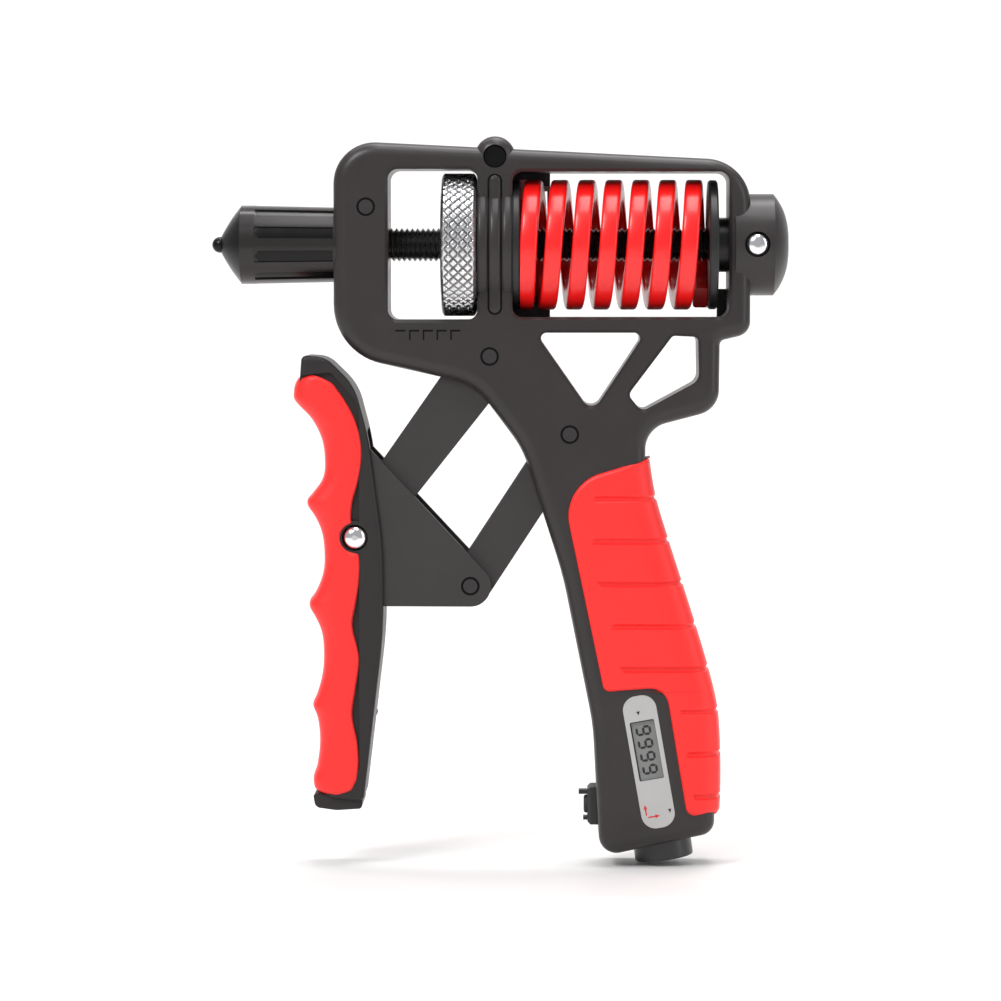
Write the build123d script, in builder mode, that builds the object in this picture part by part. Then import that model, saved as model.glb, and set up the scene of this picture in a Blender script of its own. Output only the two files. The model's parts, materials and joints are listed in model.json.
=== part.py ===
from build123d import *
import math
import os

# Adjustable spring hand gripper with a stroke counter.
# Millimetres. +X runs along the pull rod towards the rear boss, +Z up, Y across the thickness
# (the counter's display faces -Y). The origin is the middle of the palm grip.

# ------------------------------------------------------------------ driving sizes
rod_height = 97.2            # pull rod axis above the origin
frame_thickness = 20.2
wall = 2.0
edge_round = 3.2
web_x = -37.05               # middle of the web between the two windows
web_width = 8.3
left_window_width = 21.2
right_window_width = 51.3
left_window_height = 35.6
right_window_height = 34.4
window_round = 2.4
nose_block_length = 13.0
tail_block_length = 5.1
grip_drop = 146.1            # rod axis down to the lowest corner of the main grip
rubber_thickness = 1.7
rubber_proud = 0.8
rubber_recess = 0.9
rubber_round = 1.3

rod_diameter = 8.0
spring_outer = 31.0
spring_wire_width = 4.8
flange_thickness = 2.2
seat_thickness = 1.8
nut_length = 8.5
nut_gap = 0.8                # nut rim to window edge
washer_thickness = 1.5
washer_radius = 7.5
collar_radius = 6.5
boss_radius = 12.1
boss_length = 9.1
web_bulge_radius = 14.8

pivot_pin_radius = 2.0
lever_thickness = 2.5
lever_inner_y = 4.5
lever_radius_top = 6.8
lever_radius_foot = 5.2
arm_tip_radius = 2.5
link_radius = 4.85
handle_pin_radius = 2.5
handle_thickness = 22.0
plate_thickness = 2.2
plate_radius = 4.9
groove_pitch = 24.7
squeeze_deg = 20.0

nose_radius_front = 9.4
nose_radius_rear = 9.0
nose_length = 22.3
nose_flutes = 10
flute_depth = 0.4
cone_length = 5.2
tip_radius = 1.9

label_width = 8.0
label_length = 32.0
label_tilt_deg = 10.0
lcd_width = 5.9
lcd_length = 14.3
reset_radius = 7.0
reset_exposed = 4.6

running_fit = 0.05           # radial, a shaft in its bearing
free_gap = 0.4               # between parts that pass each other
side_gap = 0.1               # between faces of stacked plates
open_pivot_gap = 0.25        # radial, round the linkage's open pivot

# ------------------------------------------------------------------ places that follow
half_t = frame_thickness / 2
inner_y = half_t - wall
handle_half = handle_thickness / 2
rod_r = rod_diameter / 2
web_left = web_x - web_width / 2
web_right = web_x + web_width / 2
left_window_x = web_left - left_window_width
right_window_x = web_right + right_window_width
body_left = left_window_x - nose_block_length
body_right = right_window_x + tail_block_length
boss_end = body_right + boss_length
stop_pin_radius = 3.0
stop_pin_x = body_right + 1.5
rod_end_x = stop_pin_x - stop_pin_radius - side_gap
collar_length = 6.1
flange_x = rod_end_x - collar_length - flange_thickness
washer_x = web_left - 0.2
nut_x = washer_x - nut_length
arm_length = 26.5
lever_outer_y = lever_inner_y + lever_thickness
plate_inner_y = lever_outer_y + side_gap
nut_radius = left_window_height / 2 - nut_gap


def at(x, drop):
    """A point of the XZ plane, given by its x and its drop below the rod axis."""
    return (x, rod_height - drop)


pivot_a = at(web_x - 1.25, arm_length)
pivot_b = at(web_x + 17.75, 45.0)
pivot_c = at(web_x - 33.25, 69.5)
pivot_d = at(web_x - 5.85, 81.1)


def turned(point, centre, degrees):
    """The point turned anticlockwise about the centre, seen from the display side."""
    a = math.radians(degrees)
    dx = point[0] - centre[0]
    dz = point[1] - centre[1]
    return (
        centre[0] + dx * math.cos(a) - dz * math.sin(a),
        centre[1] + dx * math.sin(a) + dz * math.cos(a),
    )


def rounded(corners):
    """A face on the XZ plane through (x, z, radius) corners, each rounded to its radius."""
    with BuildSketch(Plane.XZ) as face:
        with BuildLine():
            Polyline(*[(x, z) for x, z, r in corners], close=True)
        make_face()
        for x, z, r in corners:
            if r > 0:
                fillet(face.vertices().sort_by_distance(Vector(x, z))[0], r)
    return face.sketch


def hull(*circles):
    """A face on the XZ plane stretched round (x, z, radius) circles."""
    with BuildSketch(Plane.XZ) as face:
        for x, z, r in circles:
            with Locations((x, z)):
                Circle(r)
        make_hull()
    return face.sketch


def slab(face, y0, y1):
    """The face of the XZ plane made solid from y0 to y1."""
    with BuildPart(mode=Mode.PRIVATE) as solid:
        with Locations((0, y0, 0)):
            add(face)
        extrude(amount=-(y1 - y0), dir=(0, -1, 0))
    return solid.part


def y_bar(point, radius, y0, y1):
    """A round bar along Y."""
    with BuildPart(mode=Mode.PRIVATE) as bar:
        with BuildSketch(Plane.XZ.offset(-y0)):
            with Locations(point):
                Circle(radius)
        extrude(amount=-(y1 - y0))
    return bar.part


def x_bar(radius, x0, x1, drop=0):
    """A round bar along X, at a drop below the rod axis."""
    with BuildPart(mode=Mode.PRIVATE) as bar:
        with BuildSketch(Plane.YZ.offset(x0)):
            with Locations((0, rod_height - drop)):
                Circle(radius)
        extrude(amount=x1 - x0)
    return bar.part


def block(x0, x1, y0, y1, z0, z1):
    """A box between two corners."""
    with BuildPart(mode=Mode.PRIVATE) as box:
        with Locations(((x0 + x1) / 2, (y0 + y1) / 2, (z0 + z1) / 2)):
            Box(x1 - x0, y1 - y0, z1 - z0)
    return box.part


def side_edges(piece):
    """The edges of a piece's two side faces."""
    faces = piece.faces().group_by(Axis.Y)
    return faces[0].edges() + faces[-1].edges()


def finish(piece, name):
    """Name a finished piece and write it."""
    piece.part.label = name
    export_step(piece.part, "parts/" + name + ".step")


os.makedirs("parts", exist_ok=True)

# ------------------------------------------------------------------ outlines
rear_lean = 3.17             # rise of the palm side for each mm of run
rear_foot_x = web_x + 54.05
rear_foot_drop = 110.7


def rear_x(drop, inset):
    """X of the sloping palm side at a drop below the rod axis, moved in by inset."""
    run = (rear_foot_drop - drop) / rear_lean
    return rear_foot_x - run - inset * math.hypot(1, 1 / rear_lean)


def rear_corner(inset):
    """Where the palm side turns from its slope to straight down."""
    x = rear_foot_x - inset
    return x, rear_foot_drop + (x - rear_x(rear_foot_drop, inset)) * rear_lean


neck_x = web_x + 35.75
neck_drop = rear_foot_drop - (rear_x(rear_foot_drop, rubber_thickness) - neck_x) * rear_lean
core_x, core_drop = rear_corner(rubber_thickness)
skin_x, skin_drop = rear_corner(0)
top_drop_left = -24.7
top_drop_right = -19.8

frame_corners = [
    (*at(body_left, top_drop_left), 9.8),
    (*at(body_left, 25.7), 14.4),
    (*at(web_left - 0.7, 33.2), 14.4),
    (*at(web_x + 6.55, 48.5), 24.0),
    (*at(web_x + 16.15, 78.7), 90.0),
    (*at(web_x + 23.35, 114.5), 60.0),
    (*at(web_x + 25.05, grip_drop), 4.2),
    (*at(core_x, grip_drop - 5.9), 3.6),
    (*at(core_x, core_drop), 120.0),
    (*at(neck_x, neck_drop), 10.0),
    (*at(neck_x, 43.7), 6.4),
    (*at(body_right - 7.4, 39.1), 6.0),
    (*at(body_right - 7.2, 22.8), 1.4),
    (*at(body_right, 21.1), 3.6),
    (*at(body_right, top_drop_right), 10.8),
]
frame_face = rounded(frame_corners)
lug_point = at(web_x, -20.8)
lug_radius = 4.8

grip_corners = [
    (*at(neck_x + 1.2, 50.8), 1.2),
    (*at(web_x + 15.65, 57.1), 10.5),
    (*at(web_x + 25.9, 105.8), 1.8),
    (*at(web_x + 40.5, 104.6), 4.5),
    (*at(web_x + 45.65, grip_drop - 11.3), 2.2),
    (*at(rear_foot_x, grip_drop - 12.7), 1.6),
    (*at(skin_x, skin_drop), 120.0),
    (*at(rear_x(59.5, 0), 59.5), 12.0),
]
grip_face = rounded(grip_corners)

triangle_face = rounded([
    (*at(web_x + 9.6, 20.9), 1.4),
    (*at(web_x + 35.6, 20.9), 1.4),
    (*at(web_x + 22.95, 40.0), 2.4),
])
trapezoid_face = rounded([
    (*at(body_right - 18.4, 21.6), 1.2),
    (*at(body_right - 12.4, 21.9), 1.2),
    (*at(body_right - 12.2, 32.2), 3.0),
    (*at(web_x + 34.8, 39.6), 2.0),
    (*at(web_x + 31.6, 35.6), 1.6),
])
left_window_z = left_window_height / 2
right_window_z = right_window_height / 2
rim = 1.6
mouth_bevel = 0.7


def window_face(x0, x1, half):
    """The face of a rounded window centred on the rod axis."""
    return rounded([
        (x0, rod_height - half, window_round),
        (x1, rod_height - half, window_round),
        (x1, rod_height + half, window_round),
        (x0, rod_height + half, window_round),
    ])


def bevel(face):
    """A tapering cut that bevels a window's edge on the display side."""
    with BuildPart(mode=Mode.PRIVATE) as cut:
        with Locations((0, -half_t, 0)):
            add(offset(face, amount=mouth_bevel, mode=Mode.PRIVATE))
        extrude(amount=mouth_bevel, dir=(0, 1, 0), taper=45)
    return cut.part


window_faces = (
    window_face(left_window_x, web_left, left_window_z),
    window_face(web_right, right_window_x, right_window_z),
    triangle_face,
    trapezoid_face,
)

# the linkage at full squeeze, for the room it needs
link_ratio = 1.2358
handle_ratio = -0.829
shut_c = turned(pivot_c, pivot_a, squeeze_deg)
shut_d = turned(pivot_d, pivot_b, squeeze_deg * link_ratio)


# ------------------------------------------------------------------ frame shells
with BuildPart() as window_bevels:
    for face in window_faces:
        add(bevel(face))
    mirror(about=Plane.XZ)

with BuildPart() as frame_blank:
    add(slab(frame_face, -half_t, half_t))
    add(y_bar(lug_point, lug_radius, -half_t, half_t))
    fillet(side_edges(frame_blank), edge_round)
    add(window_bevels.part, mode=Mode.SUBTRACT)
    add(x_bar(web_bulge_radius, web_left, web_right))
    with BuildSketch(Plane.XZ) as boss_profile:
        with BuildLine():
            Polyline(
                (body_right - 3.6, rod_height),
                (body_right - 3.6, rod_height + boss_radius),
                (boss_end - 3.4, rod_height + boss_radius),
            )
            boss_nose = ThreePointArc(
                (boss_end - 3.4, rod_height + boss_radius),
                (boss_end - 1.2, rod_height + boss_radius * 0.72),
                (boss_end, rod_height),
            )
            Line(boss_nose @ 1, (body_right - 3.6, rod_height))
        make_face()
    revolve(axis=Axis((0, 0, rod_height), (1, 0, 0)))

with BuildPart() as rubber_pocket:
    add(slab(grip_face, -half_t - 1, -half_t + rubber_recess))
    mirror(about=Plane.XZ)

# room inside the closed shells
cavity_face = offset(frame_face, amount=-wall, kind=Kind.INTERSECTION, mode=Mode.PRIVATE)
with BuildPart() as cavity:
    add(slab(cavity_face, -inner_y, inner_y))
    add(
        block(
            left_window_x - rim, right_window_x + rim, -inner_y, inner_y,
            rod_height - left_window_z - rim, rod_height + left_window_z + rim,
        ),
        mode=Mode.SUBTRACT,
    )
    for face in (triangle_face, trapezoid_face):
        ring = offset(face, amount=rim, mode=Mode.PRIVATE)
        add(slab(ring, -inner_y, inner_y), mode=Mode.SUBTRACT)
    add(y_bar(lug_point, lug_radius, -inner_y, inner_y), mode=Mode.SUBTRACT)
    add(x_bar(rod_r + 3.4, body_left, left_window_x), mode=Mode.SUBTRACT)
    add(x_bar(collar_radius + 3.4, right_window_x, body_right), mode=Mode.SUBTRACT)

with BuildPart() as windows:
    for face in window_faces:
        add(slab(face, -half_t - 1, half_t + 1))

slot_half = lever_outer_y + free_gap / 2
bush_wall = 1.6
bush_outer = rod_r + bush_wall
reset_x = web_x + 39.95
reset_drop = grip_drop - 4.0
reset_lean = 8.0
reset_plane = Plane(
    origin=(reset_x, 0, rod_height - reset_drop),
    x_dir=(math.cos(math.radians(reset_lean)), 0, math.sin(math.radians(reset_lean))),
    z_dir=(math.sin(math.radians(reset_lean)), 0, -math.cos(math.radians(reset_lean))),
)
side_button_drop = grip_drop - 11.9
side_wall_x = web_x + 24.5
side_button_radius = 2.2
upper_screw = at(web_x + 25.45, 108.5)
lower_screw = at(web_x + 28.45, grip_drop - 5.8)
front_pin = at(body_left + 7.8, -8.9)
top_pin_radius = 2.75

lever_sweep = hull(
    (*pivot_a, lever_radius_top + free_gap),
    (*pivot_c, lever_radius_foot + free_gap),
    (*shut_c, lever_radius_foot + free_gap),
)
link_sweep = hull(
    (*pivot_b, link_radius + free_gap),
    (*pivot_d, link_radius + free_gap),
    (*shut_d, link_radius + free_gap),
)
pocket_left = web_left - 4.4
pocket_right = web_right - 1.4
pocket_foot = rod_height - left_window_z - 2.6

with BuildPart() as moving_room:
    add(block(
        pocket_left, pocket_right, -slot_half, slot_half,
        pocket_foot, rod_height + arm_tip_radius + free_gap,
    ))
    add(block(
        pocket_left, pocket_right, -lever_inner_y + free_gap, lever_inner_y - free_gap,
        pocket_foot, rod_height - rod_r - 1.0,
    ), mode=Mode.SUBTRACT)
    add(slab(lever_sweep, -slot_half, slot_half))
    add(slab(link_sweep, -slot_half, slot_half))
    add(x_bar(washer_radius + free_gap, web_left - 1, web_right - 3.2))
    add(x_bar(rod_r + free_gap, body_left - 1, rod_end_x))
    add(x_bar(bush_outer, body_left - 1, left_window_x + 1))
    add(x_bar(nose_radius_rear, body_left - 1, body_left + wall))
    add(x_bar(collar_radius + bush_wall, right_window_x - 1, rod_end_x))
    add(x_bar(side_button_radius + free_gap, side_wall_x - 4, side_wall_x + 4, side_button_drop))

with BuildPart() as pin_holes:
    for point in (pivot_a, pivot_b, front_pin):
        add(y_bar(point, pivot_pin_radius, -half_t - 1, half_t + 1))
    add(y_bar(lug_point, top_pin_radius, -half_t - 1, half_t + 1))
    add(y_bar(at(stop_pin_x, 0), stop_pin_radius, -boss_radius - 1, boss_radius + 1))
    with Locations(reset_plane):
        Cylinder(reset_radius + running_fit, 12.0)

guard_radius = spring_outer / 2 + 0.8
guard_length = 8.9
guard_wall = 1.6
post_radius = 2.8
screw_radius = 1.1
screw_head = 2.2
switch_x = pivot_b[0] + link_radius + 0.85
spring_post_x = side_wall_x + 5.95
side_spring_radius = 1.6


def shell(side):
    """One frame half: side is -1 for the display side and +1 for the far side."""
    with BuildPart(mode=Mode.PRIVATE) as half:
        add(frame_blank.part)
        add(block(-200, 200, min(0, -side * 50), max(0, -side * 50), -200, 200), mode=Mode.SUBTRACT)
        add(rubber_pocket.part, mode=Mode.SUBTRACT)
        add(cavity.part, mode=Mode.SUBTRACT)
        add(windows.part, mode=Mode.SUBTRACT)
        for point in (pivot_a, pivot_b):
            add(y_bar(point, pivot_pin_radius + 1.8, side * slot_half, side * (inner_y + 0.2)))
        for point in (front_pin, upper_screw, lower_screw):
            add(y_bar(point, post_radius, 0, side * (inner_y + 0.2)))
        add(moving_room.part, mode=Mode.SUBTRACT)
        add(pin_holes.part, mode=Mode.SUBTRACT)
        for point in (upper_screw, lower_screw):
            add(y_bar(point, screw_radius, -inner_y, half_t + 1), mode=Mode.SUBTRACT)
            add(y_bar(point, screw_head, half_t - 1.4, half_t + 1), mode=Mode.SUBTRACT)
    return half.part


label_centre = at(web_x + 36.65, 122.9)
lcd_shift = 2.8
label_plane = Plane(
    origin=(label_centre[0], -half_t, label_centre[1]),
    x_dir=(math.cos(math.radians(label_tilt_deg)), 0, math.sin(math.radians(label_tilt_deg))),
    z_dir=(0, -1, 0),
)
label_thickness = 0.5
label_recess = 0.4
case_depth = 10.0
case_width = 10.4
case_length = 25.0
case_shift = 5.2
case_wall = 0.9

with BuildPart() as frame_shell_near:
    add(shell(-1))
    with BuildSketch(label_plane):
        RectangleRounded(label_width, label_length, 3.4)
    extrude(amount=-label_recess, mode=Mode.SUBTRACT)
    with BuildSketch(label_plane):
        with Locations((0, lcd_shift)):
            RectangleRounded(lcd_width, lcd_length, 0.4)
    extrude(amount=-1.5 * wall, mode=Mode.SUBTRACT)
finish(frame_shell_near, "frame_shell_near")

with BuildPart() as spring_guard:
    add(x_bar(guard_radius + guard_wall, web_right, web_right + guard_length))
    add(block(
        web_right, web_right + guard_length, inner_y, half_t,
        rod_height - right_window_z - 0.5, rod_height + right_window_z + 0.5,
    ))
    add(x_bar(guard_radius, web_right - 1, web_right + guard_length + 1), mode=Mode.SUBTRACT)
    add(block(
        web_right - 1, web_right + guard_length + 1, -30, inner_y, rod_height - 30, rod_height + 30,
    ), mode=Mode.SUBTRACT)
    add(block(
        web_right + guard_length - 1.4, web_right + guard_length - 0.7, inner_y, 30,
        rod_height - 13, rod_height + 13,
    ), mode=Mode.SUBTRACT)

with BuildPart() as frame_shell_far:
    add(shell(1))
    add(spring_guard.part)
    add(block(
        right_window_x - 2.2, right_window_x + 0.5, inner_y, half_t,
        rod_height - right_window_z - 0.5, rod_height - right_window_z + 6.7,
    ))
    add(block(
        switch_x + 1.0, switch_x + 4.0, 3.0, inner_y + 0.2, rod_height - 50.5, rod_height - 46.5,
    ))
    add(block(
        spring_post_x, spring_post_x + 1.2, -3.0, inner_y + 0.2,
        rod_height - side_button_drop - side_spring_radius,
        rod_height - side_button_drop + side_spring_radius,
    ))
finish(frame_shell_far, "frame_shell_far")

with BuildPart() as frame_core:
    add(frame_blank.part)
    add(rubber_pocket.part, mode=Mode.SUBTRACT)

with BuildPart() as palm_grip:
    add(slab(grip_face, -half_t - rubber_proud, half_t + rubber_proud))
    fillet(side_edges(palm_grip), rubber_round)
    add(frame_core.part, mode=Mode.SUBTRACT)
finish(palm_grip, "palm_grip")

# ------------------------------------------------------------------ pins of the frame
for name, point, radius, half in (
    ("upper_pivot_pin", pivot_a, pivot_pin_radius, half_t),
    ("lower_pivot_pin", pivot_b, pivot_pin_radius, half_t),
    ("front_shell_pin", front_pin, pivot_pin_radius, half_t),
    ("top_shell_pin", lug_point, top_pin_radius, half_t - 1.5),
):
    with BuildPart() as pin:
        add(y_bar(point, radius, -half, half))
        chamfer(pin.edges().filter_by(GeomType.CIRCLE), 0.25)
    finish(pin, name)

with BuildPart() as rear_stop_pin:
    add(y_bar(at(stop_pin_x, 0), stop_pin_radius, -boss_radius - 0.3, boss_radius + 0.3))
    fillet(rear_stop_pin.edges().filter_by(GeomType.CIRCLE), stop_pin_radius * 0.8)
finish(rear_stop_pin, "rear_stop_pin")

with BuildPart() as frame_screws:
    for point in (upper_screw, lower_screw):
        add(y_bar(point, screw_radius, -inner_y + 1.0, half_t - 1.4))
        add(y_bar(point, screw_head, half_t - 1.4, half_t - 0.2))
        add(block(
            point[0] - 1.5, point[0] + 1.5, half_t - 0.7, half_t, point[1] - 0.25, point[1] + 0.25,
        ), mode=Mode.SUBTRACT)
finish(frame_screws, "frame_screws")

# ------------------------------------------------------------------ nose
nose_x = body_left - nose_length
nose_embed = wall
band_length = 3.5
rod_start_x = body_left - 2.6
nose_bore = rod_r + 0.7


band_end = nose_x + band_length


def nose_radius(x):
    """Outer radius of the nose cap behind its plain band, where it tapers."""
    share = (x - band_end) / (nose_length - band_length)
    return nose_radius_front + (nose_radius_rear - nose_radius_front) * share


flute_end = body_left + 5.0
flute_core = 5.0             # the cutters stop short of the axis
flute_reach = nose_radius_front + 2.0
with BuildPart() as flute_cutters:
    for i in range(nose_flutes):
        middle = (2 * i + 1) * math.pi / nose_flutes
        low = middle - math.pi / nose_flutes / 2
        high = middle + math.pi / nose_flutes / 2
        with BuildSketch(Plane.YZ.offset(band_end)):
            with BuildLine():
                Polyline(
                    (flute_core * math.cos(low), rod_height + flute_core * math.sin(low)),
                    (flute_reach * math.cos(low), rod_height + flute_reach * math.sin(low)),
                    (flute_reach * math.cos(high), rod_height + flute_reach * math.sin(high)),
                    (flute_core * math.cos(high), rod_height + flute_core * math.sin(high)),
                    close=True,
                )
            make_face()
        extrude(amount=nose_length)
    with BuildSketch(Plane.XZ):
        with BuildLine():
            Polyline(
                (band_end, rod_height),
                (band_end, rod_height + nose_radius_front - flute_depth),
                (flute_end, rod_height + nose_radius(flute_end) - flute_depth),
                (flute_end, rod_height),
                close=True,
            )
        make_face()
    revolve(axis=Axis((0, 0, rod_height), (1, 0, 0)), mode=Mode.SUBTRACT)
    add(block(
        body_left, body_left + 30, -30, 30, rod_height - 30, rod_height + 30,
    ), mode=Mode.SUBTRACT)

with BuildPart() as nose_cap:
    with BuildSketch(Plane.XZ):
        with BuildLine():
            Polyline(
                (nose_x, rod_height),
                (nose_x, rod_height + nose_radius_front),
                (band_end, rod_height + nose_radius_front),
                (body_left, rod_height + nose_radius_rear),
                (body_left + nose_embed, rod_height + nose_radius_rear),
                (body_left + nose_embed, rod_height),
                close=True,
            )
        make_face()
    revolve(axis=Axis((0, 0, rod_height), (1, 0, 0)))
    add(flute_cutters.part, mode=Mode.SUBTRACT)
    add(x_bar(nose_bore, nose_x + 3.0, body_left + nose_embed + 1), mode=Mode.SUBTRACT)
    add(x_bar(2.0, nose_x - 1, nose_x + 4.0), mode=Mode.SUBTRACT)
finish(nose_cap, "nose_cap")

with BuildPart() as nose_cone:
    with BuildSketch(Plane.XZ):
        with BuildLine():
            Line((nose_x, rod_height), (nose_x, rod_height + nose_radius_front - 0.1))
            ThreePointArc(
                (nose_x, rod_height + nose_radius_front - 0.1),
                (nose_x - cone_length * 0.5, rod_height + nose_radius_front * 0.62),
                (nose_x - cone_length, rod_height + tip_radius * 0.7),
            )
            Polyline(
                (nose_x - cone_length, rod_height + tip_radius * 0.7),
                (nose_x - cone_length, rod_height),
                (nose_x, rod_height),
            )
        make_face()
    revolve(axis=Axis((0, 0, rod_height), (1, 0, 0)))
    add(x_bar(2.0, nose_x - 1.5, nose_x + 3.0))
    with Locations((nose_x - cone_length, 0, rod_height)):
        Sphere(tip_radius, mode=Mode.SUBTRACT)
finish(nose_cone, "nose_cone")

with BuildPart() as nose_tip:
    with Locations((nose_x - cone_length, 0, rod_height)):
        Sphere(tip_radius)
finish(nose_tip, "nose_tip")

# ------------------------------------------------------------------ pull rod and spring
with BuildPart() as rod_guide_bush:
    add(x_bar(bush_outer, body_left + nose_embed, left_window_x))
    add(x_bar(rod_r + running_fit, body_left, left_window_x + 1), mode=Mode.SUBTRACT)
finish(rod_guide_bush, "rod_guide_bush")

with BuildPart() as tail_bush:
    add(x_bar(collar_radius + bush_wall, right_window_x, rod_end_x))
    add(x_bar(collar_radius + running_fit, right_window_x - 1, rod_end_x + 1), mode=Mode.SUBTRACT)
finish(tail_bush, "tail_bush")

with BuildPart() as spring_seat:
    add(x_bar(spring_outer / 2 - 0.3, web_right, web_right + seat_thickness))
    add(x_bar(rod_r + free_gap, web_right - 1, web_right + seat_thickness + 1), mode=Mode.SUBTRACT)
    chamfer(spring_seat.edges().filter_by(GeomType.CIRCLE).sort_by(SortBy.RADIUS)[-2:], 0.3)
finish(spring_seat, "spring_seat")

spring_start = web_right + seat_thickness
with BuildPart() as load_spring:
    add(x_bar(spring_outer / 2, spring_start, flange_x))
    add(x_bar(spring_outer / 2 - spring_wire_width, spring_start - 1, flange_x + 1), mode=Mode.SUBTRACT)
finish(load_spring, "load_spring")

with BuildPart() as cross_pin:
    add(y_bar(at(rod_end_x - 2.6, 0), 1.0, -collar_radius + 0.6, collar_radius - 0.6))
finish(cross_pin, "collar_pin")

with BuildPart() as pull_rod:
    add(x_bar(rod_r, rod_start_x, rod_end_x))
    chamfer(pull_rod.edges().filter_by(GeomType.CIRCLE), 0.8)
    add(cross_pin.part, mode=Mode.SUBTRACT)
finish(pull_rod, "pull_rod")

with BuildPart() as moving_flange:
    add(x_bar(spring_outer / 2 - 0.1, flange_x, flange_x + flange_thickness))
    add(x_bar(rod_r, flange_x - 1, flange_x + flange_thickness + 1), mode=Mode.SUBTRACT)
    chamfer(moving_flange.edges().filter_by(GeomType.CIRCLE).sort_by(SortBy.RADIUS)[-2:], 0.4)
finish(moving_flange, "moving_flange")

with BuildPart() as tail_collar:
    add(x_bar(collar_radius, flange_x + flange_thickness, rod_end_x))
    add(x_bar(rod_r, flange_x, rod_end_x + 1), mode=Mode.SUBTRACT)
    add(cross_pin.part, mode=Mode.SUBTRACT)
finish(tail_collar, "tail_collar")

with BuildPart() as tension_nut:
    add(x_bar(nut_radius, nut_x, nut_x + nut_length))
    chamfer(tension_nut.edges().filter_by(GeomType.CIRCLE), 1.4)
    add(x_bar(rod_r + running_fit, nut_x - 1, nut_x + nut_length + 1), mode=Mode.SUBTRACT)
finish(tension_nut, "tension_nut")

with BuildPart() as thrust_washer:
    add(x_bar(washer_radius, washer_x, washer_x + washer_thickness))
    add(x_bar(rod_r + 0.3, washer_x - 1, washer_x + washer_thickness + 1), mode=Mode.SUBTRACT)
finish(thrust_washer, "thrust_washer")

# ------------------------------------------------------------------ linkage
tip_gap = 0.15
arm_tip = at(washer_x + washer_thickness + tip_gap + arm_tip_radius, 0)
hub_radius = 3.4
lever_face = hull((*pivot_a, lever_radius_top), (*pivot_c, lever_radius_foot))
arm_root_radius = 2.6
arm_neck_radius = 1.9
arm_setback = 0.6            # the arm's neck stands behind its rounded tip
arm_face = hull(
    (pivot_a[0] + arm_setback, pivot_a[1], arm_root_radius),
    (arm_tip[0] + arm_setback, arm_tip[1] - 1.0, arm_neck_radius),
)
link_face = hull((*pivot_b, link_radius), (*pivot_d, link_radius))

for name, side in (("near", -1), ("far", 1)):
    inner = side * lever_inner_y
    outer = side * lever_outer_y
    with BuildPart() as lever_plate:
        add(slab(lever_face, min(inner, outer), max(inner, outer)))
        add(slab(arm_face, min(inner, outer), max(inner, outer)))
        add(y_bar(arm_tip, arm_tip_radius, min(inner, outer), max(inner, outer)))
        add(y_bar(pivot_a, pivot_pin_radius + running_fit, -half_t, half_t), mode=Mode.SUBTRACT)
        add(y_bar(pivot_c, handle_pin_radius + running_fit, -half_t, half_t), mode=Mode.SUBTRACT)
    finish(lever_plate, "lever_plate_" + name)
    with BuildPart() as lower_link:
        add(slab(link_face, min(inner, outer), max(inner, outer)))
        add(y_bar(pivot_b, pivot_pin_radius + running_fit, -half_t, half_t), mode=Mode.SUBTRACT)
        add(y_bar(pivot_d, pivot_pin_radius + open_pivot_gap, -half_t, half_t), mode=Mode.SUBTRACT)
    finish(lower_link, "lower_link_" + name)

for name, point, outer, inner in (
    ("lever_hub", pivot_a, hub_radius, pivot_pin_radius + running_fit),
    ("lever_foot_spacer", pivot_c, hub_radius + 0.6, handle_pin_radius + running_fit),
    ("link_hub", pivot_b, hub_radius, pivot_pin_radius + running_fit),
    ("link_foot_spacer", pivot_d, hub_radius, pivot_pin_radius + open_pivot_gap),
):
    with BuildPart() as spacer:
        add(y_bar(point, outer, -lever_inner_y, lever_inner_y))
        add(y_bar(point, inner, -half_t, half_t), mode=Mode.SUBTRACT)
    finish(spacer, name)

# ------------------------------------------------------------------ front handle
c_x = pivot_c[0]
handle_round = 1.2
handle_end_drop = 132.4
handle_corners = [
    (*at(c_x - 12.6, 26.2), 1.3),
    (*at(c_x - 7.0, 26.6), 6.0),
    (*at(c_x, 33.4), 14.0),
    (*at(c_x + 3.2, 45.5), 60.0),
    (*at(c_x + 6.8, 72.0), 110.0),
    (*at(c_x + 6.8, 92.0), 110.0),
    (*at(c_x + 2.0, handle_end_drop), 1.3),
    (*at(c_x - 6.6, handle_end_drop - 0.8), 1.3),
    (*at(c_x - 5.8, 45.0), 8.0),
    (*at(c_x - 13.2, 34.5), 1.5),
]
handle_face = rounded(handle_corners)
first_peak_drop = 62.2
peaks = 3
finger_corners = [
    (*at(c_x - 5.6, 30.2), 1.6),
    (*at(c_x - 14.6, 31.2), 1.6),
    (*at(c_x - 16.3, 37.4), 2.0),
]
for i in range(peaks):
    finger_corners.append((*at(c_x - 6.6, first_peak_drop + (i - 0.5) * groove_pitch), 7.0))
    finger_corners.append((*at(c_x - 14.2 + 0.4 * i, first_peak_drop + i * groove_pitch), 7.0))
finger_corners += [
    (*at(c_x - 7.9, first_peak_drop + (peaks - 0.5) * groove_pitch), 7.0),
    (*at(c_x - 11.2, handle_end_drop - 2.2), 1.6),
    (*at(c_x - 2.0, handle_end_drop - 2.8), 3.0),
    (*at(c_x + 1.0, handle_end_drop - 7.6), 2.0),
    (*at(c_x + 1.0, 38.0), 5.0),
]
finger_face = rounded(finger_corners)
plate_outer_y = plate_inner_y + plate_thickness
plate_face = hull(
    (*pivot_d, plate_radius),
    (*at(c_x - 1.5, 46.7), 2.5),
    (*at(c_x - 1.2, 81.5), 4.4),
)
relative_deg = -squeeze_deg * handle_ratio
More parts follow.
